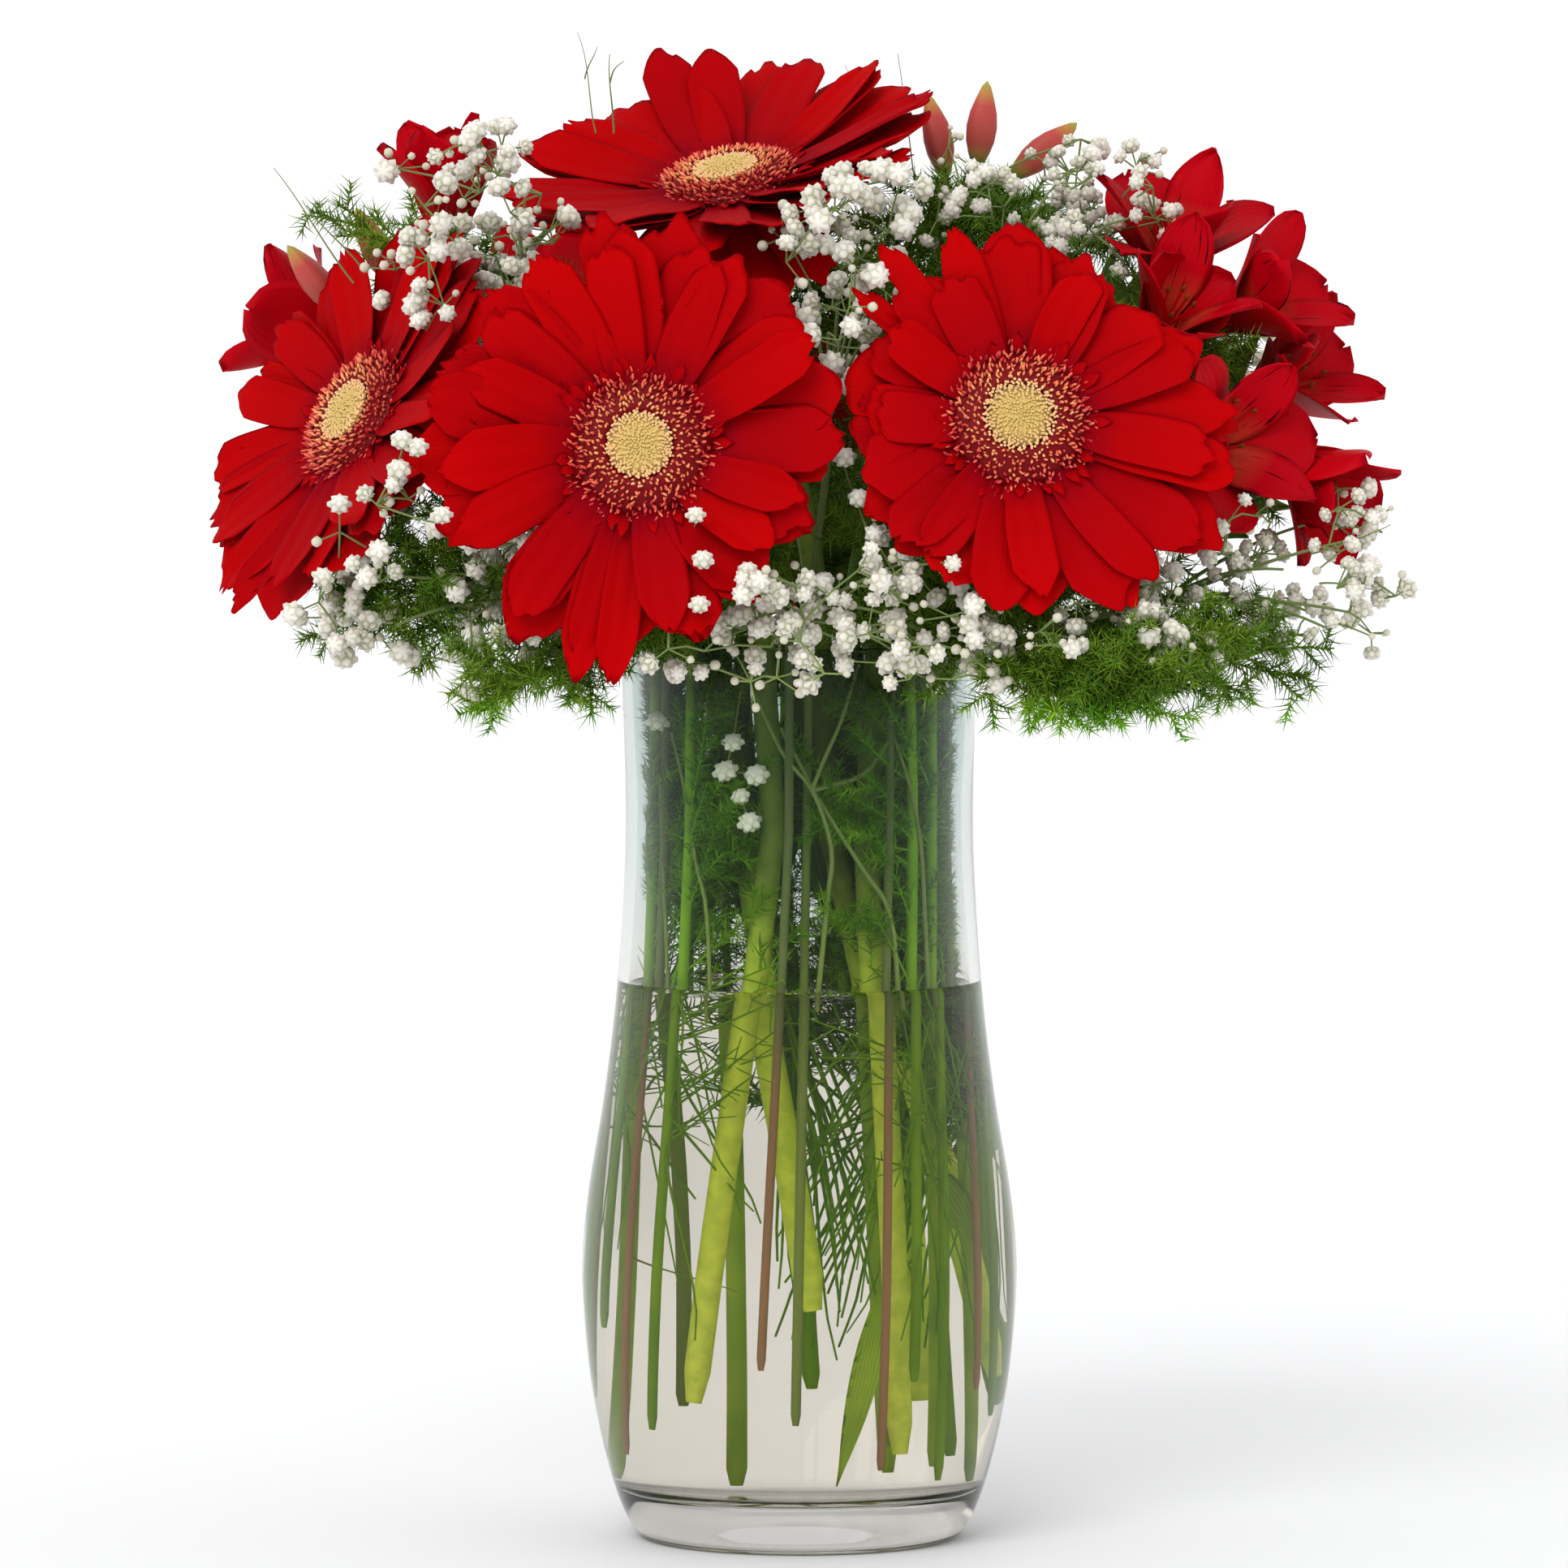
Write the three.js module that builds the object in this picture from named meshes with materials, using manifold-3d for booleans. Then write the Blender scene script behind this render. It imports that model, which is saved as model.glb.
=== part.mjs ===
// Red gerberas in a clear glass vase, with alstroemeria, gypsophila and asparagus fern between them.
// Millimetres, +Z up, the origin at the middle of the vase's foot. The front of the bouquet faces -Y.
// Every flower stands on a stem of its own, which runs down through the neck of the vase into the water.
import * as THREE from "three";
import { mergeVertices } from "three/addons/utils/BufferGeometryUtils.js";
import Module from "manifold-3d";

const wasm = await Module();
wasm.setup();
const { Manifold, Mesh: SolidMesh } = wasm;
const V = (x, y, z = 0) => new THREE.Vector3(x, y, z);

// ---------------------------------------------------------------- driving dimensions

const VASE_HEIGHT = 250;
const VASE_OUTSIDE = [ // radius, height: foot, belly, waist and rim
  [42.5, 0], [46.2, 2.2], [51, 12], [55.4, 28], [58.7, 46], [60.7, 68], [60.6, 82], [58.6, 100],
  [54.9, 122], [51.6, 148], [49.4, 176], [48.5, 205], [49.8, VASE_HEIGHT],
];
const WALL = 3.2;
const RIM_WALL = 2.4;
const FLOOR_HEIGHT = 14; // solid glass under the water
const FLOOR_RADIUS = 38; // its flat middle, with a round edge of the next height
const FLOOR_EDGE = 5;
const VASE_SIDES = 24;
const WATER_LEVEL = 154;
const FIT = 0.35; // clearance between pieces that touch

const NECK_HEIGHT = 200; // stems run straight from their cut end to here
const RING_RADIUS = 41; // the outer ring of thin stems in the neck
const RIM_REACH = 42.5; // no stem's middle crosses the rim further out
const FOOT_REACH = 46; // where the outer ring ends in the water
const FOOT_POWER = 0.8; // the inner stems spread more than the outer ones
const TWIST = 0.15; // radians that the stems turn about the middle on their way down
const RIM_LEAN = 0.1; // share of its way out that a stem has made at the rim

const HEAD_RADIUS = 58; // gerbera, from its centre to the tips of the rays
const RAY_LAYERS = [ // outer and inner: height of their roots, share of the full length, rise of their tips
  { count: 10, lift: -1.7, share: 1, rise: -3, shape: [[0, 0.27], [0.42, 0.86], [0.86, 1], [1, 0.5]] },
  { count: 9, lift: 1.7, share: 0.86, rise: 3, shape: [[0, 0.3], [0.6, 1], [1, 0.5]] },
];
const RAY_WIDTH = 19;
const CUSHION_RADIUS = 13.5; // the small florets between the rays and the eye
const CUSHION_WELL = 1.4; // height of the flat in its middle that carries the eye
const EYE_RADIUS = 8.2;
const CALYX_DEPTH = 15;
const GERBERA_STEM = 3.1; // radius

const ALSTROEMERIA_STEM = 2.2; // radius
const TEPAL_LENGTH = 36;
const TEPAL_WIDTH = 20;
const BUD_LENGTH = 24;
const LEAF_LENGTH = 52;
const LEAF_WIDTH = 13;
const LEAVES = 3; // on each stem

const SPRAY_STEM = 1.2; // radius, gypsophila
const BOUGH = 1; // radius
const TWIG = 0.5; // radius
const FLORET_RADIUS = 3.9;
const BOUGHS = 2;
const FLORETS_EACH = 4; // on each bough

const FROND_STEM = 1.5; // radius, fern
const NEEDLE_LENGTH = 13;
const NEEDLE_PITCH = 1.5; // between the rounds of needles in the tuft that ends a branch
const NEEDLE_ROUNDS = 3;
const NEEDLE_LEAN = [0.1, 0.4]; // forward, for each unit outward: at the first round, and more for each round
const BRANCH = 0.75; // radius of the branch that carries them
const BRANCHES = 3; // along each frond, with one more at its tip

// ---------------------------------------------------------------- the flowers, one row for each

// Gerberas: the middle of the head, the way it faces, how deep its cup is, its size, and its stem's place in the
// neck, place in the water and height of its cut end. Without a foot, a stem fans out in line with its neck.
const GERBERAS = [
  {
    name: "top", at: V(-20, 6, 378), faces: V(-0.17, -0.36, 0.92),
    cup: 13, size: 1.12, neck: V(8, 2), foot: V(42, 6), cut: 46,
  },
  {
    name: "front_left", at: V(-43, -86, 306), faces: V(-0.04, -0.98, 0.16),
    cup: 4, size: 1.04, neck: V(-7, -30), foot: V(-26, -28), cut: 42,
  },
  {
    name: "front_right", at: V(59, -80, 313), faces: V(0.06, -0.94, 0.32),
    cup: 4, size: 1, neck: V(18, -24), foot: V(25, -29), cut: 28,
  },
  {
    name: "left", at: V(-122, -22, 313), faces: V(-0.74, -0.5, 0.45),
    cup: 8, size: 1.02, neck: V(-16, -12), foot: V(3, -10), cut: 66,
  },
  {
    name: "back", at: V(14, 98, 294), faces: V(0.08, 0.9, 0.42),
    cup: 7, size: 0.97, neck: V(14, 25), cut: 40,
  },
];

// Alstroemerias: the stem parts at its fork into pedicels, with a bloom (open 0.2 to 1) or a bud (open 0) on
// each.
const ALSTROEMERIAS = [
  {
    name: "left", fork: V(-90, 42, 326), neck: V(-31, 11), cut: 18,
    heads: [
      { at: V(-98, 34, 356), faces: V(-0.1, -0.1, 0.98), open: 0.45 },
      { at: V(-114, 34, 350), faces: V(-0.45, -0.1, 0.88), open: 0 },
      { at: V(-122, 52, 330), faces: V(-0.9, 0.25, 0.4), open: 0.8 },
      { at: V(-129, 28, 342), faces: V(-0.62, -0.1, 0.78), open: 0 },
    ],
  },
  {
    name: "top", fork: V(36, 30, 348), neck: V(11, 12), cut: 22,
    heads: [
      { at: V(50, 32, 383), faces: V(0.12, 0, 0.99), open: 0 },
      { at: V(60, 40, 380), faces: V(0.75, 0.05, 0.62), open: 0 },
      { at: V(-4, 70, 366), faces: V(-0.05, 0.25, 0.96), open: 0.5 },
      { at: V(41, 37, 380), faces: V(-0.2, 0.1, 0.97), open: 0 },
    ],
  },
  {
    name: "right_high", fork: V(86, 8, 326), neck: V(33, 3), cut: 18,
    heads: [
      { at: V(103, 2, 347), faces: V(0.02, -0.42, 0.9), open: 0.9 },
      { at: V(112, -8, 337), faces: V(0.8, -0.35, 0.48), open: 1 },
      { at: V(96, -22, 330), faces: V(0.35, -0.55, 0.75), open: 0.8 },
    ],
  },
  {
    name: "right_low", fork: V(98, -6, 296), neck: V(31, -15), cut: 24,
    heads: [
      { at: V(127, -18, 306), faces: V(0.72, -0.45, -0.52), open: 1 },
      { at: V(121, 4, 316), faces: V(0.76, -0.3, 0.42), open: 0.75 },
      { at: V(104, -34, 302), faces: V(0.6, -0.6, 0.2), open: 0.9 },
    ],
  },
  {
    name: "back", fork: V(-56, 82, 316), neck: V(-13, 28), cut: 18,
    heads: [
      { at: V(-66, 98, 332), faces: V(-0.4, 0.75, 0.5), open: 0.9 },
      { at: V(-42, 98, 338), faces: V(0.2, 0.5, 0.85), open: 0 },
    ],
  },
];

// Gypsophila: the fork of the spray, the middle of its cloud of florets and how wide the cloud is. A stem in
// the outer ring of the neck has only its bearing there, in degrees.
const SPRAYS = [
  {
    name: "left_high", fork: V(-74, -4, 316), middle: V(-90, -28, 358),
    spread: V(22, 22, 28), bearing: 180, cut: 40,
  },
  {
    name: "left_low", fork: V(-72, -40, 262), middle: V(-98, -54, 268),
    spread: V(33, 23, 23), bearing: 208, cut: 26,
  },
  {
    name: "front_low", fork: V(-4, -62, 258), middle: V(0, -82, 262),
    spread: V(44, 16, 18), bearing: 266, cut: 52,
  },
  {
    name: "front_high", fork: V(8, -40, 312), middle: V(12, -54, 350),
    spread: V(19, 20, 26), neck: V(2, -18), cut: 36,
  },
  {
    name: "right_high", fork: V(58, -10, 330), middle: V(70, -12, 373),
    spread: V(32, 24, 16), neck: V(18, -10), cut: 30,
  },
  {
    name: "right_low", fork: V(98, -42, 262), middle: V(135, -47, 271),
    spread: V(26, 21, 22), bearing: 349, cut: 44,
  },
  {
    name: "front_right", fork: V(54, -62, 250), middle: V(80, -82, 254),
    spread: V(34, 16, 12), bearing: 306, cut: 24,
  },
  {
    name: "back_right", fork: V(98, 62, 290), middle: V(112, 70, 306),
    spread: V(24, 26, 30), bearing: 26, cut: 30,
  },
  {
    name: "back_left", fork: V(-50, 96, 270), middle: V(-56, 112, 278),
    spread: V(44, 18, 20), bearing: 122, cut: 38,
  },
];

// Asparagus fern: the tip of each frond.
const FRONDS = [
  { name: "left_low", tip: V(-126, -34, 262), bearing: 195, cut: 60 },
  { name: "front_left", tip: V(-82, -84, 244), bearing: 224, cut: 34 },
  { name: "front_right", tip: V(78, -88, 240), bearing: 318, cut: 48 },
  { name: "right_low", tip: V(126, -58, 250), bearing: 330, cut: 20 },
  { name: "right", tip: V(104, -40, 330), bearing: 2, cut: 36 },
  { name: "top", tip: V(42, 12, 372), neck: V(22, 14), cut: 26 },
  { name: "left_high", tip: V(-122, 6, 366), bearing: 166, cut: 28 },
  { name: "back", tip: V(-6, 124, 280), bearing: 96, cut: 42 },
  { name: "back_right", tip: V(72, 116, 268), bearing: 54, cut: 22 },
];

// ---------------------------------------------------------------- materials

const finish = (color, roughness, extra = {}) =>
  new THREE.MeshStandardMaterial({ color, roughness, metalness: 0, ...extra });
const GLASS = finish(0xdfe9e4, 0.05, { transparent: true, opacity: 0.35 });
const WATER = finish(0xd7dfd9, 0.05, { transparent: true, opacity: 0.4 });
const RAY_RED = finish(0xb80406, 0.6);
const EYE_YELLOW = finish(0xd9c15c, 0.7);
const GERBERA_GREEN = finish(0x9fbc33, 0.5);
const TEPAL_RED = finish(0xa80a14, 0.5);
const LEAF_GREEN = finish(0x4f7d35, 0.55);
const FLORET_WHITE = finish(0xf2f0ea, 0.75);
const FERN_GREEN = finish(0x3c7a1e, 0.6);

// ---------------------------------------------------------------- tools

// A number from 0 to 1 that is always the same for the same i and k.
function scatter(i, k = 0) {
  const s = Math.sin(i * 12.9898 + k * 78.233) * 43758.5453;
  return s - Math.floor(s);
}

const between = (low, high, i, k = 0) => low + (high - low) * scatter(i, k);

// A three.js geometry as a solid that can be joined, cut and measured.
function solidOf(geometry) {
  const bare = new THREE.BufferGeometry().setAttribute("position", geometry.getAttribute("position"));
  bare.setIndex(geometry.index);
  const merged = mergeVertices(bare, 1e-4);
  return new Manifold(new SolidMesh({
    numProp: 3,
    vertProperties: merged.attributes.position.array,
    triVerts: new Uint32Array(merged.index.array),
  }));
}

function geometryOf(solid) {
  const { numProp, numVert, vertProperties, triVerts } = solid.getMesh();
  const position = new Float32Array(numVert * 3);
  for (let i = 0; i < numVert; i++) position.set(vertProperties.subarray(i * numProp, i * numProp + 3), i * 3);
  return new THREE.BufferGeometry()
    .setAttribute("position", new THREE.BufferAttribute(position, 3))
    .setIndex(new THREE.BufferAttribute(new Uint32Array(triVerts), 1));
}

// Joins solids into one body. A scrap that a cut left loose is dropped.
function fused(solids) {
  const bodies = Manifold.union(solids).simplify(0.05).decompose();
  return bodies.sort((a, b) => b.volume() - a.volume())[0];
}

// A closed skin over rings of points, all with the same number of points. `crossed` says which of its squares
// are split the other way.
function skin(rings, crossed = () => false) {
  const sides = rings[0].length;
  const position = rings.flat().flatMap((p) => [p.x, p.y, p.z]);
  const index = [];
  for (let r = 0; r + 1 < rings.length; r++)
    for (let i = 0; i < sides; i++) {
      const a = r * sides + i;
      const b = r * sides + ((i + 1) % sides);
      if (crossed(r, i)) index.push(a, b, a + sides, b, b + sides, a + sides);
      else index.push(a, b, b + sides, a, b + sides, a + sides);
    }
  const last = (rings.length - 1) * sides;
  for (let i = 1; i + 1 < sides; i++) {
    index.push(0, i + 1, i);
    index.push(last, last + i, last + i + 1);
  }
  const geometry = new THREE.BufferGeometry();
  return geometry.setAttribute("position", new THREE.Float32BufferAttribute(position, 3)).setIndex(index);
}

// A tube through the points, with a radius for each of them.
function tube(points, radii, sides) {
  let side = null;
  const rings = points.map((p, k) => {
    const next = points[Math.min(k + 1, points.length - 1)];
    const ahead = next.clone().sub(points[Math.max(k - 1, 0)]).normalize();
    side ??= V(0.31, 0.95, 0.08).cross(ahead);
    side = side.clone().addScaledVector(ahead, -side.dot(ahead)).normalize();
    const other = ahead.clone().cross(side);
    return Array.from({ length: sides }, (_, i) => {
      const turn = (i / sides) * 2 * Math.PI;
      const rim = p.clone().addScaledVector(side, radii[k] * Math.cos(turn));
      return rim.addScaledVector(other, radii[k] * Math.sin(turn));
    });
  });
  return solidOf(skin(rings));
}

// A petal or leaf. Each station along it has two edges and a midrib that stands up between them.
function blade(stations) {
  return solidOf(skin(stations.map(({ at, across, up, half, rib }) => [
    at.clone().addScaledVector(across, -half),
    at.clone().addScaledVector(across, half),
    at.clone().addScaledVector(up, rib),
  ])));
}

// A profile of [radius, height] turned about the axis from `at` along `along`.
function turned(profile, sides, at, along) {
  const geometry = new THREE.LatheGeometry(profile.map(([r, h]) => new THREE.Vector2(r, h)), sides);
  geometry.applyQuaternion(new THREE.Quaternion().setFromUnitVectors(V(0, 1, 0), along.clone().normalize()));
  geometry.translate(at.x, at.y, at.z);
  return solidOf(geometry);
}

// Two directions square to `normal`: the first is level, the second points as far up as it can.
function faceAxes(normal) {
  const level = V(0, 0, 1).cross(normal);
  if (level.length() < 0.01) level.set(1, 0, 0);
  level.normalize();
  return [level, normal.clone().cross(level).normalize()];
}

// ---------------------------------------------------------------- keeping pieces apart

const placed = []; // every solid so far, with its box and the flower that it belongs to

function keep(solid, owner) {
  placed.push({ solid, box: solid.boundingBox(), owner });
  return solid;
}

// True where the solid stays FIT away from everything placed before it, other than its own flower, and clear of
// the listed parts of its own.
function isClear(solid, owner, own) {
  const { min, max } = solid.boundingBox();
  const near = placed.filter(({ box, owner: other }) => other !== owner
    && [0, 1, 2].every((k) => box.min[k] < max[k] + FIT && box.max[k] > min[k] - FIT));
  return near.every((other) => other.solid.minGap(solid, FIT) >= FIT)
    && own.every((other) => other.minGap(solid, FIT) >= FIT / 2);
}

// The first of some tries at a piece that is clear, or null.
function firstClear(tries, make, owner, own = []) {
  for (let k = 0; k < tries; k++) {
    const solid = make(k);
    if (isClear(solid, owner, own)) return solid;
  }
  return null;
}

// ---------------------------------------------------------------- vase and water

function radiusAt(profile, height) {
  const k = profile.findIndex(([, z]) => z >= height);
  const [[r0, z0], [r1, z1]] = [profile[k - 1], profile[k]];
  return r0 + ((r1 - r0) * (height - z0)) / (z1 - z0);
}

const FLOOR_TOP = FLOOR_HEIGHT + FLOOR_EDGE;
const VASE_INSIDE = VASE_OUTSIDE.filter(([, z], k) => z > FLOOR_TOP && (k % 2 || z > NECK_HEIGHT))
  .map(([r, z]) => [r - (z === VASE_HEIGHT ? RIM_WALL : WALL), z]);
const INNER_FLOOR = [[FLOOR_RADIUS, FLOOR_HEIGHT], [radiusAt(VASE_OUTSIDE, FLOOR_TOP) - WALL - 2, FLOOR_TOP]];
const UP = V(0, 0, 1);

function makeVase() {
  const inside = [[0, FLOOR_HEIGHT], ...INNER_FLOOR, ...VASE_INSIDE];
  return turned([[0, 0], ...VASE_OUTSIDE, ...inside.reverse()], VASE_SIDES, V(0, 0, 0), UP);
}

// The water fills the vase up to its level. Each stem stands in a plain hole in it.
function makeWater() {
  const wall = [...INNER_FLOOR, ...VASE_INSIDE.filter(([, z]) => z < WATER_LEVEL - 10)];
  const side = wall.map(([r, z], k) => [r - 2 * FIT, z + (k === 0 ? FIT : 0)]);
  const top = radiusAt(VASE_INSIDE, WATER_LEVEL) - 2 * FIT;
  const profile = [[0, FLOOR_HEIGHT + FIT], ...side, [top, WATER_LEVEL], [0, WATER_LEVEL]];
  const water = turned(profile, VASE_SIDES, V(0, 0, 0), UP);
  const holes = stems.map(({ points: [foot, neck], radius, sides }) => {
    const along = neck.clone().sub(foot).normalize();
    const wide = radius + 1.3 * FIT;
    return tube([foot.clone().addScaledVector(along, -FIT), neck], [wide, wide], sides);
  });
  return water.subtract(Manifold.union(holes));
}

// ---------------------------------------------------------------- stems

const stems = [];

// A stem runs straight from its cut end through the neck to the rim, and from there in a curve to its end.
function addStem(row, end, arrives, [thick, thin], sides, steps) {
  const turn = THREE.MathUtils.degToRad(row.bearing ?? 0);
  const neck = row.neck?.clone() ?? V(Math.cos(turn), Math.sin(turn)).multiplyScalar(RING_RADIUS);
  const reach = FOOT_REACH * (neck.length() / RING_RADIUS) ** FOOT_POWER;
  const usual = neck.clone().setLength(reach).applyAxisAngle(UP, -TWIST);
  const foot = (row.foot ?? usual).clone().setZ(row.cut);
  neck.setZ(NECK_HEIGHT);
  const outward = V(end.x - neck.x, end.y - neck.y);
  const rim = neck.clone().addScaledVector(outward, RIM_LEAN).setZ(VASE_HEIGHT + 4);
  const wide = Math.hypot(rim.x, rim.y);
  const most = RIM_REACH - thick;
  if (wide > most) rim.set((rim.x * most) / wide, (rim.y * most) / wide, rim.z);
  const span = 0.32 * end.distanceTo(rim);
  const leaving = rim.clone().addScaledVector(rim.clone().sub(neck).normalize(), span);
  const curve = new THREE.CubicBezierCurve3(rim, leaving, end.clone().addScaledVector(arrives, -span), end);
  const points = [foot, neck, ...curve.getPoints(steps)];
  const radii = points.map((_, k) => thick + ((thin - thick) * Math.max(0, k - 2)) / steps);
  const stem = { points, curve, radius: thick, sides, solid: tube(points, radii, sides) };
  stems.push(stem);
  keep(stem.solid, row.flower);
  return stem;
}

// ---------------------------------------------------------------- gerbera

// Tries for a ray that meets another flower: how far its tip bends forward, and its share of the full length.
const RAY_BENDS = [[0, 1], [6, 1], [-6, 1], [12, 0.97], [4, 0.88], [-10, 0.9], [18, 0.9], [8, 0.75]];
const RAY_SINK = 4.5; // how deep a ray's root stands in the cushion
const CUSHION_SIDES = 14;
const CUSHION_ROWS = [ // radius, height: its underside, its wall, its top and the well for the eye
  [CUSHION_RADIUS - 4, -4], [CUSHION_RADIUS, -3], [CUSHION_RADIUS, 3.8], [CUSHION_RADIUS - 2.8, 5.8],
  [EYE_RADIUS, 4.8], [EYE_RADIUS - 1, CUSHION_WELL],
];
const CREST = 1.4; // how far the florets at its edge stand up
const CALYX_TOP = CALYX_DEPTH - 4 - FIT; // just under the cushion
const CALYX = [[0, -2], [3.6, 0], [8.6, 4.5], [11.4, 8.6], [9.5, CALYX_TOP], [0, CALYX_TOP]];
const EYE_SEAT = CUSHION_WELL + FIT;
const EYE_WALL = EYE_RADIUS - 1.8;
const EYE = [[0, EYE_SEAT], [EYE_WALL, EYE_SEAT], [EYE_WALL, 4.4], [EYE_WALL - 1.7, 6], [0, 6.6]];

// A ray rises from the side of the cushion and arches out. `lean` bends its tip forward, and `short` cuts it.
function gerberaRay(row, angle, layer, [lean, short], seed) {
  const [level, upward] = faceAxes(row.faces);
  const out = level.clone().multiplyScalar(Math.cos(angle)).addScaledVector(upward, Math.sin(angle));
  const beside = row.faces.clone().cross(out);
  const tilt = between(-0.12, 0.12, seed, 3);
  const across = beside.clone().multiplyScalar(Math.cos(tilt)).addScaledVector(row.faces, Math.sin(tilt));
  const root = CUSHION_RADIUS - RAY_SINK;
  const tip = HEAD_RADIUS * row.size * layer.share * short * between(0.94, 1.06, seed, 2);
  const rise = row.cup + lean + layer.rise * scatter(seed, 4);
  const sway = between(-3, 3, seed, 5);
  return blade(layer.shape.map(([t, wide]) => ({
    at: row.at.clone()
      .addScaledVector(out, root + (tip - root) * t)
      .addScaledVector(beside, sway * t ** 3)
      .addScaledVector(row.faces, layer.lift + rise * t ** 1.7),
    across,
    up: row.faces,
    half: (RAY_WIDTH * layer.share * wide) / 2,
    rib: 1.6 - 0.5 * t,
  })));
}

function gerberaRays(row, index) {
  return RAY_LAYERS.flatMap((layer, l) => Array.from({ length: layer.count }, (_, k) => {
    const seed = index * 100 + l * 40 + k;
    const angle = ((k + 0.5 * l + 0.08 * scatter(seed, 1)) / layer.count) * 2 * Math.PI;
    const make = (n) => gerberaRay(row, angle, layer, RAY_BENDS[n], seed);
    return firstClear(RAY_BENDS.length, make, row.flower);
  })).filter(Boolean);
}

// The cushion of small florets round the eye, in rows of crests and hollows.
function gerberaCushion({ at, faces }) {
  const [level, upward] = faceAxes(faces);
  const edge = CUSHION_ROWS.length - 1;
  const steps = Array.from({ length: CUSHION_SIDES }, (_, i) => i);
  return solidOf(skin(CUSHION_ROWS.map(([radius, height], r) => steps.map((i) => {
    const crest = r > 1 && r < edge && (i + r) % 2 ? CREST : 0;
    const turn = (i / CUSHION_SIDES) * 2 * Math.PI;
    const wide = radius + crest / 2;
    return at.clone()
      .addScaledVector(level, wide * Math.cos(turn))
      .addScaledVector(upward, wide * Math.sin(turn))
      .addScaledVector(faces, height + crest);
  }))));
}

function addGerberaStem(row) {
  row.faces.normalize();
  const back = row.at.clone().addScaledVector(row.faces, -CALYX_DEPTH);
  return addStem(row, back, row.faces, [GERBERA_STEM + 0.3, GERBERA_STEM - 0.3], 6, 4);
}

function makeGerbera(row, index) {
  const back = row.at.clone().addScaledVector(row.faces, -CALYX_DEPTH);
  const green = fused([row.stem.solid, turned(CALYX, 8, back, row.faces)]);
  const petals = fused([gerberaCushion(row), ...gerberaRays(row, index)]);
  add(`${row.flower}_stem`, green, GERBERA_GREEN, row.flower);
  add(`${row.flower}_petals`, petals, RAY_RED, row.flower);
  add(`${row.flower}_eye`, turned(EYE, 8, row.at, row.faces), EYE_YELLOW, row.flower);
}

// ---------------------------------------------------------------- alstroemeria

const OUTER_TEPAL = [[0, 0.15], [0.62, 1], [1, 0.3]];
const INNER_TEPAL = [[0, 0.2], [0.6, 1], [1, 0.3]];
const LEAF_SHAPE = [[0, 0.2], [0.45, 1], [1, 0.1]];
const TEPAL_BENDS = [0, -0.25, 0.25, -0.45, 0.45, -0.7, 0.8]; // tries for a tepal's flare, in radians
const SHORT_TEPAL = 0.82; // share of the full length, from the fourth try on
const HEART = [[0, 0], [2.6, 0.6], [3, 6], [0, 9]];
const BUD = [[0, 0], [2.8, 3], [4.4, 9], [3.9, 15], [1.6, 21], [0, BUD_LENGTH]];
const PEDICEL_BEND = 7; // the pedicel runs straight into the flower from this far behind it

// A blade that starts at `start` radians from `axis`, towards `out`, and bends to `flare` radians at its tip.
function bentBlade(at, axis, out, length, width, start, flare, shape) {
  const across = axis.clone().cross(out).normalize();
  const point = at.clone();
  let before = 0;
  return blade(shape.map(([t, wide]) => {
    const angle = start + (flare - start) * t;
    const way = axis.clone().multiplyScalar(Math.cos(angle)).addScaledVector(out, Math.sin(angle));
    point.addScaledVector(way, length * (t - before));
    before = t;
    const up = axis.clone().multiplyScalar(Math.sin(angle)).addScaledVector(out, -Math.cos(angle));
    return { at: point.clone(), across, up, half: (width * wide) / 2, rib: 1.3 - 0.4 * t };
  }));
}

// Six tepals in two rounds of three: the outer ones are broad, and the inner ones narrow and more upright.
function makeBloom(head, name, seedAt) {
  const [level, upward] = faceAxes(head.faces);
  const wide = TEPAL_WIDTH * (0.7 + 0.3 * head.open);
  const tepals = [];
  for (let k = 0; k < 6; k++) {
    const inner = k % 2;
    const turn = ((k + between(-0.1, 0.1, seedAt + k, 1)) / 6) * 2 * Math.PI;
    const out = level.clone().multiplyScalar(Math.cos(turn)).addScaledVector(upward, Math.sin(turn));
    const root = head.at.clone().addScaledVector(out, 1.6).addScaledVector(head.faces, 2 + inner);
    const full = TEPAL_LENGTH * (inner ? 1.03 : 0.94);
    const flare = head.open * (inner ? 1.1 : 1.5);
    const shape = inner ? INNER_TEPAL : OUTER_TEPAL;
    const make = (n) => {
      const length = full * (n > 2 ? SHORT_TEPAL : 1);
      const bend = Math.max(0.1, flare + TEPAL_BENDS[n]);
      return bentBlade(root, head.faces, out, length, wide * (inner ? 0.6 : 1), 0.1, bend, shape);
    };
    const tepal = firstClear(TEPAL_BENDS.length, make, name);
    if (tepal) tepals.push(tepal);
  }
  add(name, fused([turned(HEART, 6, head.at, head.faces), ...tepals]), TEPAL_RED, name);
}

function addAlstroemeriaStem(row) {
  const arrives = V(row.fork.x * 0.004, row.fork.y * 0.004, 1).normalize();
  const stem = addStem(row, row.fork, arrives, [ALSTROEMERIA_STEM, ALSTROEMERIA_STEM - 0.5], 6, 4);
  stem.limbs = row.heads.map((head) => {
    head.faces.normalize();
    const bend = head.at.clone().addScaledVector(head.faces, -PEDICEL_BEND);
    const end = head.at.clone().addScaledVector(head.faces, head.open ? -1.3 * FIT : 2);
    const pedicel = tube([row.fork, bend, end], [1.5, 1.1, 1.3], 3);
    if (head.open) return keep(pedicel, row.flower);
    return keep(pedicel.add(turned(BUD, 6, head.at, head.faces)), row.flower);
  });
  return stem;
}

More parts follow.
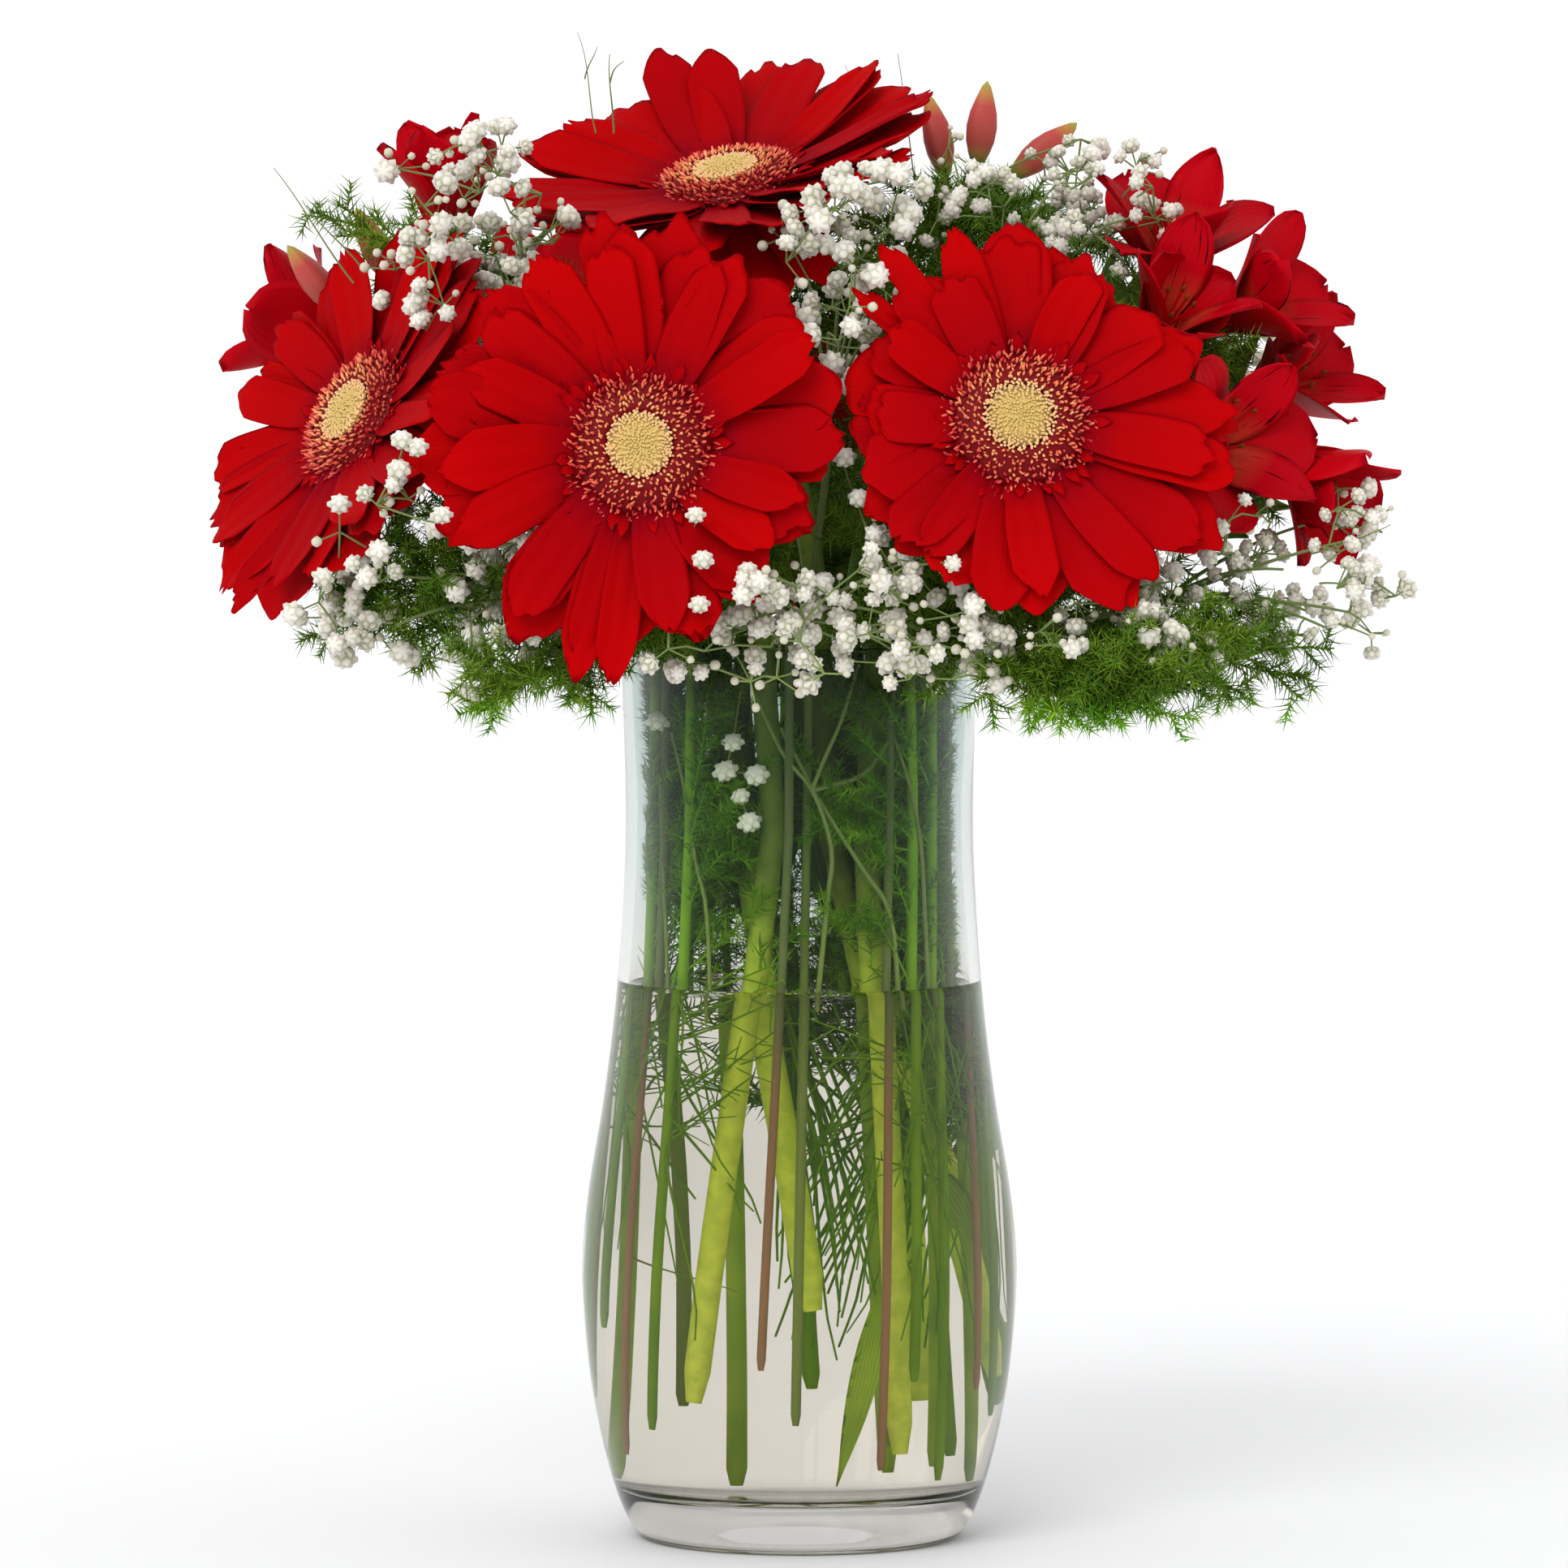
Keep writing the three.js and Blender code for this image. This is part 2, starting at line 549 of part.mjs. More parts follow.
function makeAlstroemeria(row, index) {
  row.heads.forEach((head, h) => {
    if (head.open) makeBloom(head, `${row.flower}_bloom_${h + 1}`, 700 + index * 40 + h * 8);
  });
  const green = [row.stem.solid, ...row.stem.limbs];
  for (let k = 0; k < LEAVES; k++) {
    const seed = 900 + index * 10 + k;
    const at = row.stem.curve.getPointAt(0.97 - 0.1 * k);
    const axis = row.stem.curve.getTangentAt(0.97 - 0.1 * k);
    const [level, upward] = faceAxes(axis);
    const make = (n) => {
      const turn = k * 2.4 + between(-0.4, 0.4, seed, n + 1) + n * 0.8;
      const out = level.clone().multiplyScalar(Math.cos(turn)).addScaledVector(upward, Math.sin(turn));
      if (out.z < -0.2) out.negate(); // a leaf doesn't hang
      const length = LEAF_LENGTH * between(0.8, 1.1, seed, 9) * (1 - 0.06 * n);
      return bentBlade(at, axis, out, length, LEAF_WIDTH, 0.8, between(1, 1.6, seed, n + 20), LEAF_SHAPE);
    };
    const leaf = firstClear(8, make, row.flower);
    if (leaf) green.push(leaf);
  }
  add(`${row.flower}_stem`, fused(green), LEAF_GREEN, row.flower);
}

// ---------------------------------------------------------------- gypsophila

const addSprayStem = (row) => addStem(row, row.fork, UP, [SPRAY_STEM, SPRAY_STEM - 0.3], 3, 4);

// A twig from `from` with a double floret at `at`: two rounds of three corners, one turned against the other.
function sprig(from, at, size) {
  const way = at.clone().sub(from).normalize();
  const [level, upward] = faceAxes(way);
  const round = (distance, radius, offset) => [0, 1, 2].map((i) => {
    const turn = ((i + offset) / 3) * 2 * Math.PI;
    return at.clone().addScaledVector(way, distance)
      .addScaledVector(level, radius * Math.cos(turn)).addScaledVector(upward, radius * Math.sin(turn));
  });
  const low = -0.55 * size;
  const foot = round(-at.distanceTo(from), TWIG / 2, 0);
  return solidOf(skin([foot, round(low - 1.5, TWIG, 0), round(low, size, 0), round(-low, size, 0.5)]));
}

// Boughs leave the fork for the cloud, and twigs leave each bough, with a floret at the end of each.
function makeSpray(row, index) {
  const parts = [row.stem.solid];
  const inCloud = (seed, n, share) => V(
    row.middle.x + row.spread.x * share * between(-1, 1, seed, n),
    row.middle.y + row.spread.y * share * between(-1, 1, seed, n + 31),
    row.middle.z + row.spread.z * share * between(-1, 1, seed, n + 67));
  for (let b = 0; b < BOUGHS; b++) {
    let end = null;
    const bough = firstClear(12, (n) => {
      end = inCloud(1100 + index * 40 + b, n * 3 + 1, 0.6);
      return tube([row.fork, end], [BOUGH, BOUGH * 0.8], 3);
    }, row.flower);
    if (!bough) continue;
    const others = parts.slice(1);
    parts.push(bough);
    for (let k = 0; k < FLORETS_EACH; k++) {
      const seed = 1600 + index * 100 + b * 20 + k;
      const from = row.fork.clone().lerp(end, 0.94 - (0.6 * k) / FLORETS_EACH);
      const twig = firstClear(24, (n) => {
        const at = inCloud(seed, n * 3 + 1, 1);
        at.sub(from).clampLength(11, 24).add(from);
        return sprig(from, at, FLORET_RADIUS * between(0.85, 1.1, seed, 8));
      }, row.flower, others);
      if (!twig) continue;
      parts.push(twig);
      others.push(twig);
    }
  }
  add(row.flower, fused(parts), FLORET_WHITE, row.flower);
}

// ---------------------------------------------------------------- fern

function addFrondStem(row) {
  const lean = V(row.tip.x, row.tip.y).normalize().setZ(0.5).normalize();
  return addStem(row, row.tip, lean, [FROND_STEM, 0.7], 3, 5);
}

// A branch whose end is drawn out into a tuft of needles: every other point of each ring is a needle's tip, and
// the points between them stay on the branch, by turns from ring to ring.
function needledBranch(root, way, length) {
  const [level, upward] = faceAxes(way);
  const last = NEEDLE_ROUNDS + 2;
  const bare = length - NEEDLE_PITCH * last;
  const rings = Array.from({ length: last + 1 }, (_, r) => Array.from({ length: 6 }, (_, i) => {
    const tip = r > 1 && r < last && (r + i) % 2;
    const lean = NEEDLE_LEAN[0] + NEEDLE_LEAN[1] * (r - 1);
    const thin = BRANCH * (r === 0 || r === last ? 0.4 : 1);
    const out = tip ? NEEDLE_LENGTH / Math.hypot(1, lean) : thin;
    const along = (r === 0 ? 0 : bare + NEEDLE_PITCH * r) + (tip ? out * lean : 0);
    const turn = (i / 6) * 2 * Math.PI;
    return root.clone().addScaledVector(way, along)
      .addScaledVector(level, out * Math.cos(turn)).addScaledVector(upward, out * Math.sin(turn));
  }));
  return solidOf(skin(rings, (r, i) => (r + i) % 2));
}

// Branches leave the outer half of the stem by turns, and one more carries on from its tip.
function makeFrond(row, index) {
  const parts = [row.stem.solid];
  for (let b = 0; b <= BRANCHES; b++) {
    const seed = 3000 + index * 60 + b;
    const last = b === BRANCHES;
    const t = last ? 0.99 : 0.42 + (0.5 * b) / BRANCHES;
    const root = row.stem.curve.getPointAt(t);
    const ahead = row.stem.curve.getTangentAt(t);
    const branch = firstClear(40, (n) => {
      const away = V(between(-1, 1, seed, n), between(-1, 1, seed, n + 20), between(-0.4, 0.8, seed, n + 40));
      const way = ahead.clone().multiplyScalar(last ? 2 : 0.7).add(away).normalize();
      return needledBranch(root, way, between(20, 30, seed, 50));
    }, row.flower, parts.slice(1));
    if (branch) parts.push(branch);
  }
  add(row.flower, fused(parts), FERN_GREEN, row.flower);
}

// ---------------------------------------------------------------- the whole bouquet

const group = new THREE.Group();

function add(name, solid, material, owner) {
  keep(solid, owner);
  const mesh = new THREE.Mesh(geometryOf(solid), material);
  mesh.name = name;
  group.add(mesh);
}

// Every stem is placed before the flowers, which then keep clear of all stems but their own.
add("vase", makeVase(), GLASS);
const KINDS = [
  ["gerbera", GERBERAS, addGerberaStem, makeGerbera],
  ["alstroemeria", ALSTROEMERIAS, addAlstroemeriaStem, makeAlstroemeria],
  ["fern", FRONDS, addFrondStem, makeFrond],
  ["gypsophila", SPRAYS, addSprayStem, makeSpray],
];
for (const [kind, rows, stemMaker] of KINDS)
  for (const row of rows) {
    row.flower = `${kind}_${row.name}`;
    row.stem = stemMaker(row);
  }
for (const [, rows, , maker] of KINDS) rows.forEach(maker);
add("water", makeWater(), WATER);

export default group;
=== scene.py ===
# %% [markdown]
# # Red gerberas in a glass vase
# A florist's bouquet: gerberas, alstroemerias, gypsophila and asparagus fern in a waisted glass vase of
# water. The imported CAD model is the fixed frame. Each of its faceted solids is replaced here by a finer
# piece of the same form, in the same place. The script draws in millimetres, and `finished` brings each
# mesh to metres.

import math

import bmesh
import bpy
import numpy as np
from mathutils import Matrix, Vector
from mathutils.bvhtree import BVHTree
from mathutils.geometry import interpolate_bezier


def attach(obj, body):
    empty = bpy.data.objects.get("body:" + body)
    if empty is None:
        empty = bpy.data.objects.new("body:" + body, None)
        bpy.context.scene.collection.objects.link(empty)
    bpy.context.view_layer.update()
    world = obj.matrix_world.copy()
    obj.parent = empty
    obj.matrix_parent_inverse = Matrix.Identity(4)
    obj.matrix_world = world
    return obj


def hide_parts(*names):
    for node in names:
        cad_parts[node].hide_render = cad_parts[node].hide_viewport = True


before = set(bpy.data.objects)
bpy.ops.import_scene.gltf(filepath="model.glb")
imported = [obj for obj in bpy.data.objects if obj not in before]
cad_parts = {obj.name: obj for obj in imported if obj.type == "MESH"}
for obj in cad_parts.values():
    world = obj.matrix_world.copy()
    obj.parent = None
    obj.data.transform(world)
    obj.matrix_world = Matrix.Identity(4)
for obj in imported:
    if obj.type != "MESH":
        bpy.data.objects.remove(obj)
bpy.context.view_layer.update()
MM = 0.001
UP = Vector((0, 0, 1))

# %% [markdown]
# ## Camera
# The photograph was taken from a little above the flowers, from far enough away that near and far heads
# keep nearly the same size. A long lens from 2.65 m gives that. The camera looks down by 3 degrees at the
# middle of the bouquet and vase together.

# %% Camera
CAMERA_AT = Vector((-4.3, -2650, 350)) * MM
CAMERA_AIM = Vector((-4.3, 0, 210.5)) * MM
LENS = 218.4

camera_data = bpy.data.cameras.new("camera")
camera_data.lens = LENS
camera_data.clip_end = 100
camera = bpy.data.objects.new("camera", camera_data)
camera.location = CAMERA_AT
camera.rotation_euler = (CAMERA_AIM - CAMERA_AT).to_track_quat("-Z", "Y").to_euler()
bpy.context.scene.collection.objects.link(camera)
bpy.context.scene.camera = camera
print("camera", [round(x, 3) for x in camera.location], "lens", LENS)

# %% [markdown]
# ## Node helpers
# Every finish is a node tree. Built by hand each tree takes pages, so short helpers add a node, a colour
# ramp, a mix, a noise or a height, and link whatever is passed in as a socket. Constants stay on the
# shader's own sockets.

# %% Node helpers
def finish(name, **sockets):
    """A material whose Principled shader has these constants on its own sockets."""
    made = bpy.data.materials.new(name)
    made.use_nodes = True
    shader = made.node_tree.nodes["Principled BSDF"]
    for key, value in sockets.items():
        shader.inputs[key.replace("_", " ")].default_value = value
    return made


def node(material, kind, inputs=(), **settings):
    """Adds a node. An input that is a socket is linked, and any other is set."""
    made = material.node_tree.nodes.new("ShaderNode" + kind)
    for key, value in settings.items():
        setattr(made, key, value)
    for key, value in dict(inputs).items():
        if isinstance(value, bpy.types.NodeSocket):
            material.node_tree.links.new(value, made.inputs[key])
        else:
            made.inputs[key].default_value = value
    return made


def ramp(material, factor, stops):
    """A colour for each stop (place, (red, green, blue)), blended between them."""
    made = node(material, "ValToRGB", {"Fac": factor})
    elements = made.color_ramp.elements
    while len(elements) < len(stops):
        elements.new(0.5)
    for element, (place, colour) in zip(elements, stops):
        element.position = place
        element.color = (*colour, 1)
    return made.outputs["Color"]


def mixed(material, factor, first, second, how="MIX"):
    """Two colours mixed by a factor."""
    made = node(material, "Mix", data_type="RGBA", blend_type=how)
    for index, value in ((0, factor), (6, first), (7, second)):
        if isinstance(value, bpy.types.NodeSocket):
            material.node_tree.links.new(value, made.inputs[index])
        else:
            made.inputs[index].default_value = value if index == 0 else (*value, 1)
    return made.outputs[2]


def times(material, first, second):
    """One colour tinted by another."""
    return mixed(material, 1.0, first, second, "MULTIPLY")


def attribute(material, name):
    """The value that each point of a mesh holds under this name."""
    return node(material, "Attribute", attribute_name=name).outputs["Fac"]


def vein_lines(material, count):
    """A wave across a petal or leaf, for the fine lines that run along it."""
    spread = node(material, "Math", {0: attribute(material, "across"), 1: count}, operation="MULTIPLY")
    return node(material, "Math", {0: spread.outputs[0]}, operation="SINE").outputs[0]


def speckle(material, scale, detail=2.0):
    """Noise over the object's own coordinates. The scale is in cells for each metre."""
    place = node(material, "TexCoord").outputs["Object"]
    return node(material, "TexNoise", {"Vector": place, "Scale": scale, "Detail": detail}).outputs["Fac"]


def height_share(material, top):
    """How high a point lies, from 0 on the ground to 1 at top, in metres."""
    place = node(material, "TexCoord").outputs["Object"]
    height = node(material, "SeparateXYZ", {"Vector": place}).outputs["Z"]
    return node(material, "MapRange", {"Value": height, "From Max": top}).outputs["Result"]


def relief(material, height, strength, distance):
    """Makes a height show as bumps of that distance, in metres."""
    bump = node(material, "Bump", {"Height": height, "Strength": strength, "Distance": distance})
    shader = material.node_tree.nodes["Principled BSDF"]
    material.node_tree.links.new(bump.outputs["Normal"], shader.inputs["Normal"])


def colour_from(material, socket):
    """Makes a colour socket the shader's base colour."""
    shader = material.node_tree.nodes["Principled BSDF"]
    material.node_tree.links.new(socket, shader.inputs["Base Color"])


# %% [markdown]
# ## Studio
# A plain pale floor under an even sky, and one large soft sun from the upper left front as the key light. A
# sun lights the whole floor alike, so floor and sky meet without a line. The sky is a ramp over height
# only: white at the horizon and greyer above, which gives the glass something to mirror.

# %% Studio
FLOOR_RADIUS = 12.0
FLOOR_DROP = 0.0002
FLOOR_PALE = (0.94, 0.94, 0.94)
FLOOR_SHADE = (0.92, 0.92, 0.92)
KEY_POWER = 1.3
KEY_SOFTNESS = math.radians(35)
KEY_WAY = Vector((0.35, 0.9, -0.75))

floor_mesh = bpy.data.meshes.new("floor")
floor_shape = bmesh.new()
bmesh.ops.create_circle(floor_shape, cap_ends=True, segments=64, radius=FLOOR_RADIUS)
bmesh.ops.translate(floor_shape, vec=(0, 0, -FLOOR_DROP), verts=floor_shape.verts)
floor_shape.to_mesh(floor_mesh)
floor_shape.free()
floor_finish = finish("pale floor", Roughness=0.7)
floor_tone = ramp(floor_finish, speckle(floor_finish, 2.0), [(0.3, FLOOR_SHADE), (0.7, FLOOR_PALE)])
colour_from(floor_finish, floor_tone)
floor_mesh.materials.append(floor_finish)
floor = bpy.data.objects.new("floor", floor_mesh)
bpy.context.scene.collection.objects.link(floor)

world = bpy.data.worlds.new("studio")
world.use_nodes = True
bpy.context.scene.world = world
sky = node(world, "TexCoord").outputs["Generated"]
height = node(world, "SeparateXYZ", {"Vector": sky}).outputs["Z"]
tone = ramp(world, height, [(0.0, (1.06, 1.06, 1.06)), (0.12, (1.0, 1.0, 1.0)), (1.0, (0.83, 0.84, 0.86))])
backdrop = world.node_tree.nodes["Background"]
world.node_tree.links.new(tone, backdrop.inputs["Color"])
backdrop.inputs["Strength"].default_value = 1.0

key_data = bpy.data.lights.new("key", "SUN")
key_data.energy = KEY_POWER
key_data.angle = KEY_SOFTNESS
key = bpy.data.objects.new("key", key_data)
key.rotation_euler = KEY_WAY.to_track_quat("-Z", "Y").to_euler()
bpy.context.scene.collection.objects.link(key)
bpy.context.scene.view_settings.view_transform = "Standard"
print("studio: floor, sky and one soft sun")

# %% [markdown]
# ## Shared helpers
# What repeats in the bouquet is made once and copied: `copies` places a small pattern mesh many times.
# Stems, twigs and filaments are tubes, for which Blender's own tool is a curve with a round bevel. Every
# petal, leaf and bract is a `blade`: a grid that is bent along a spine and made solid.

# %% Draws and directions
FIRST_SEED = dict(tepal=700, leaf=900, bough=1100, hub=1600, branch=3000, neck=4000, wisp=4800, end=4900,
                  floret=5000, fringe=6000)


def scatter(i, k=0):
    """A number from 0 to 1 that is always the same for the same i and k."""
    s = math.sin(i * 12.9898 + k * 78.233) * 43758.5453
    return s - math.floor(s)


def between(low, high, i, k=0):
    """A number from low to high that is always the same for the same i and k."""
    return low + (high - low) * scatter(i, k)


def face_axes(normal):
    """Two directions square to normal: the first is level, the second points as far up as it can."""
    level = UP.cross(normal)
    if level.length < 0.01:
        level = Vector((1, 0, 0))
    level.normalize()
    return level, normal.cross(level).normalized()


def spin_out(axis, angle):
    """A direction at this angle round an axis, from level towards up."""
    level, upward = face_axes(axis)
    return level * math.cos(angle) + upward * math.sin(angle)


def matrix_of(across, forward, up, at):
    """The matrix that takes x, y and z to these directions, and the origin to a place."""
    made = Matrix((across, forward, up)).transposed().to_4x4()
    made.translation = at
    return made


# %% Pieces
def finished(name, parts, material, slot, *nodes):
    """Joins meshes drawn in millimetres into one piece, in metres, that rides on the root body."""
    whole = bmesh.new()
    for part in parts:
        whole.from_mesh(part)
        bpy.data.meshes.remove(part)
    bmesh.ops.scale(whole, vec=(MM, MM, MM), verts=whole.verts)
    mesh = bpy.data.meshes.new(name)
    whole.to_mesh(mesh)
    whole.free()
    mesh.materials.append(material)
    mesh.shade_smooth()
    piece = bpy.data.objects.new(name, mesh)
    bpy.context.scene.collection.objects.link(piece)
    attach(piece, "root")
    if nodes:
        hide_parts(*nodes)
    return piece


def mesh_of(shape, name="part"):
    """A mesh from a bmesh, which is freed."""
    mesh = bpy.data.meshes.new(name)
    shape.to_mesh(mesh)
    shape.free()
    return mesh


def marked(mesh, **marks):
    """Gives every point of a mesh these values, for the materials to read."""
    for name, value in marks.items():
        layer = mesh.attributes.get(name) or mesh.attributes.new(name, "FLOAT", "POINT")
        layer.data.foreach_set("value", np.full(len(mesh.vertices), value, np.float32))
    return mesh


# %% Copies
def copies(pattern, places, tints):
    """One mesh with the pattern at each place, a matrix, and the tint of each as an attribute."""
    n, points, corners, faces = len(places), len(pattern.vertices), len(pattern.loops), len(pattern.polygons)
    co = np.ones((points, 4))
    flat = np.empty(points * 3)
    pattern.vertices.foreach_get("co", flat)
    co[:, :3] = flat.reshape(-1, 3)
    moved = np.einsum("nij,vj->nvi", np.array([list(map(list, m)) for m in places])[:, :3], co)
    ends, starts = np.empty(corners, np.int32), np.empty(faces, np.int32)
    pattern.loops.foreach_get("vertex_index", ends)
    pattern.polygons.foreach_get("loop_start", starts)
    step = np.arange(n)[:, None]
    mesh = bpy.data.meshes.new("copies")
    mesh.vertices.add(n * points)
    mesh.loops.add(n * corners)
    mesh.polygons.add(n * faces)
    mesh.vertices.foreach_set("co", moved.ravel())
    mesh.loops.foreach_set("vertex_index", (ends + step * points).ravel())
    mesh.polygons.foreach_set("loop_start", (starts + step * corners).ravel())
    for source in pattern.attributes:
        if source.data_type == "FLOAT" and source.domain == "POINT":
            values = np.empty(points)
            source.data.foreach_get("value", values)
            layer = mesh.attributes.new(source.name, "FLOAT", "POINT")
            layer.data.foreach_set("value", np.tile(values, n).astype(np.float32))
    tint = mesh.attributes.new("tint", "FLOAT", "POINT")
    tint.data.foreach_set("value", np.repeat(tints, points).astype(np.float32))
    mesh.update(calc_edges=True)
    return mesh


# %% Tubes, turned shapes and round lines
def tubes(lines, roundness=4):
    """Tapered tubes with closed ends, one for each line of points and radii."""
    curve = bpy.data.curves.new("lines", "CURVE")
    curve.dimensions = "3D"
    for points, radii in lines:
        spline = curve.splines.new("POLY")
        spline.points.add(len(points) - 1)
        for knot, point, radius in zip(spline.points, points, radii):
            knot.co = (*point, 1)
            knot.radius = radius
    curve.bevel_depth = 1
    curve.bevel_resolution = roundness
    curve.use_fill_caps = True
    holder = bpy.data.objects.new("lines", curve)
    mesh = bpy.data.meshes.new_from_object(holder)
    bpy.data.objects.remove(holder)
    bpy.data.curves.remove(curve)
    return mesh


def turned(profile, steps, at=Vector(), axis=UP):
    """A profile of (radius, height) points spun round an axis and closed on it."""
    shape = bmesh.new()
    knots = [shape.verts.new((radius, 0, height)) for radius, height in profile]
    edges = [shape.edges.new(pair) for pair in zip(knots, knots[1:])]
    bmesh.ops.spin(shape, geom=knots + edges, axis=UP, cent=(0, 0, 0), angle=2 * math.pi, steps=steps,
                   use_merge=True)
    bmesh.ops.remove_doubles(shape, verts=shape.verts, dist=1e-4)
    bmesh.ops.recalc_face_normals(shape, faces=shape.faces)
    ahead = Vector(axis).normalized()
    bmesh.ops.transform(shape, matrix=matrix_of(*face_axes(ahead), ahead, at), verts=shape.verts)
    return mesh_of(shape)


def smoothed(points, steps):
    """A round line through the points, as a Catmull-Rom curve."""
    points = [Vector(p) for p in points]
    ends = [2 * points[0] - points[1], *points, 2 * points[-1] - points[-2]]
    line = []
    for before, here, there, after in zip(ends, ends[1:], ends[2:], ends[3:]):
        bows = [here, here + (there - before) / 6, there - (after - here) / 6, there]
        line += interpolate_bezier(*[p.to_3d() for p in bows], steps + 1)[:-1]
    return [*line, points[-1].to_3d()]


# %% A blade for petals and leaves
def blade(place, spine, half_width, outline, tip, cross, cells, thick, **marks):
    """A thin closed petal or leaf.

    spine gives (forward, up) from 0 at the root to 1 at the tip, and outline the share of half_width there.
    tip gives how much shorter it is at each place across, from -1 to 1, and cross its height there."""
    shape = bmesh.new()
    along, across = (shape.verts.layers.float.new(name) for name in ("along", "across"))
    others = {shape.verts.layers.float.new(name): value for name, value in marks.items()}
    made = bmesh.ops.create_grid(shape, x_segments=cells[0], y_segments=cells[1], size=0.5)
    step = 0.01
    for vert in made["verts"]:
        u = 2 * vert.co.x
        t = (vert.co.y + 0.5) * (1 - tip(u))
        y, z = spine(t)
        ahead = Vector(spine(t + step)) - Vector(spine(t - step))
        ahead.normalize()
        h = cross(u, t)
        vert[along] = t
        vert[across] = u
        for layer, value in others.items():
            vert[layer] = value
        vert.co = place @ Vector((u * half_width * outline(t), y - ahead.y * h, z + ahead.x * h))
    bmesh.ops.solidify(shape, geom=shape.faces[:], thickness=thick)
    bmesh.ops.recalc_face_normals(shape, faces=shape.faces)
    return shape


def bent_spine(length, start, flare):
    """A spine whose angle from forward grows evenly from start to flare, bending down."""
    def spine(t):
        turn = (flare - start) or 1e-6
        angle = start + turn * t
        forward = length * (math.sin(angle) - math.sin(start)) / turn
        return forward, -length * (math.cos(start) - math.cos(angle)) / turn
    return spine


# %% [markdown]
# ## Room between the flowers
# Petals of two flowers don't grow through each other. `standing` remembers a search tree of everything
# placed so far, and each new petal is tried at a few bends until it is clear of the other flowers. For the
# thousands of fine needles a coarser memory is enough: `crowded` holds the small cubes of space that petals
# and leaves pass through.

# %% Clearance
CELL = 3.0
standing = []
crowded = set()


def cell_of(point):
    """The small cube of space that a point lies in."""
    return tuple(round(x / CELL) for x in point)


def outline_of(shape):
    """A search tree of a bmesh, with its lowest and highest corners."""
    co = np.array([v.co for v in shape.verts])
    return BVHTree.FromBMesh(shape), co.min(0), co.max(0)


def is_clear(form, owner):
    """True where a form cuts no petal, leaf or stem of another flower."""
    tree, low, high = form
    for other, other_tree, other_low, other_high in standing:
        apart = (other_low > high).any() or (other_high < low).any()
        if other not in (owner, owner + "_stem") and not apart and tree.overlap(other_tree):
            return False
    return True


def first_clear(tries, make, owner):
    """The first of some tries that is clear of other flowers, kept as standing, or None."""
    for bend in tries:
        shape = make(bend)
        form = outline_of(shape)
        if is_clear(form, owner):
            standing.append((owner, *form))
            crowded.update(cell_of(vert.co) for vert in shape.verts)
            return mesh_of(shape)
        shape.free()
    return None


def room_at(point, reach):
    """True where no petal or leaf is closer to a point than reach."""
    low, high = np.array(point) - reach, np.array(point) + reach
    for owner, tree, other_low, other_high in standing:
        if owner.endswith("stem") or (other_low > high).any() or (other_high < low).any():
            continue
        if tree.find_nearest(point, reach)[0] is not None:
            return False
    return True


# %% [markdown]
# ## Vase
# A blown vase of clear glass: a thick foot, a wide belly, a slim waist and a melted, rounded rim. Turning a
# profile is how such a shape is drawn in Blender too: the `spin` operator carries a line of points round
# the axis. The profile is the outside, the rim and the inside in one line, so that the glass has its true
# wall.

# %% Vase
VASE_HEIGHT = 250
VASE_OUTSIDE = [
    (42.5, 0), (46.2, 2.2), (51, 12), (55.4, 28), (58.7, 46), (60.7, 68), (60.6, 82), (58.6, 100),
    (54.9, 122), (51.6, 148), (49.4, 176), (48.5, 205), (49.8, VASE_HEIGHT),
]
WALL = 3.2
RIM_WALL = 2.4
RIM_TAPER = 40
RIM_ROOM = 2
FLOOR_HEIGHT = 14
FLAT_RADIUS = 38
FLOOR_EDGE = 5
FOOT_HOLLOW = 1.4
VASE_STEPS = 96

outside = [(p.x, p.y) for p in smoothed(VASE_OUTSIDE, 5)]
wall_heights = np.array([h for _, h in outside])
wall_radii = np.array([r for r, _ in outside])


def inner_radius(height):
    """Radius of the inside of the glass, whose wall grows thinner towards the rim."""
    near_rim = max(0, (height - VASE_HEIGHT + RIM_TAPER) / RIM_TAPER)
    return float(np.interp(height, wall_heights, wall_radii)) - WALL + (WALL - RIM_WALL) * near_rim


half_rim = RIM_WALL / 2
rim_middle = (VASE_OUTSIDE[-1][0] + inner_radius(VASE_HEIGHT)) / 2
rim = [(rim_middle + half_rim * math.cos(a), VASE_HEIGHT - half_rim + half_rim * math.sin(a))
       for a in np.linspace(0, math.pi, 9)]
edge_reach = inner_radius(FLOOR_HEIGHT + FLOOR_EDGE) - FLAT_RADIUS
floor_edge = [(FLAT_RADIUS + edge_reach * math.sin(a), FLOOR_HEIGHT + FLOOR_EDGE * (1 - math.cos(a)))
              for a in np.linspace(0, math.pi / 2, 7)]
inside = [(inner_radius(h), h) for _, h in outside
          if FLOOR_HEIGHT + FLOOR_EDGE + 1 < h < VASE_HEIGHT - RIM_ROOM]
underside = [(0, FOOT_HOLLOW), (26, FOOT_HOLLOW), (36, 0.5), (40, 0)]
shell = underside + [p for p in outside if p[1] < VASE_HEIGHT - RIM_ROOM] + rim + (floor_edge + inside)[::-1]

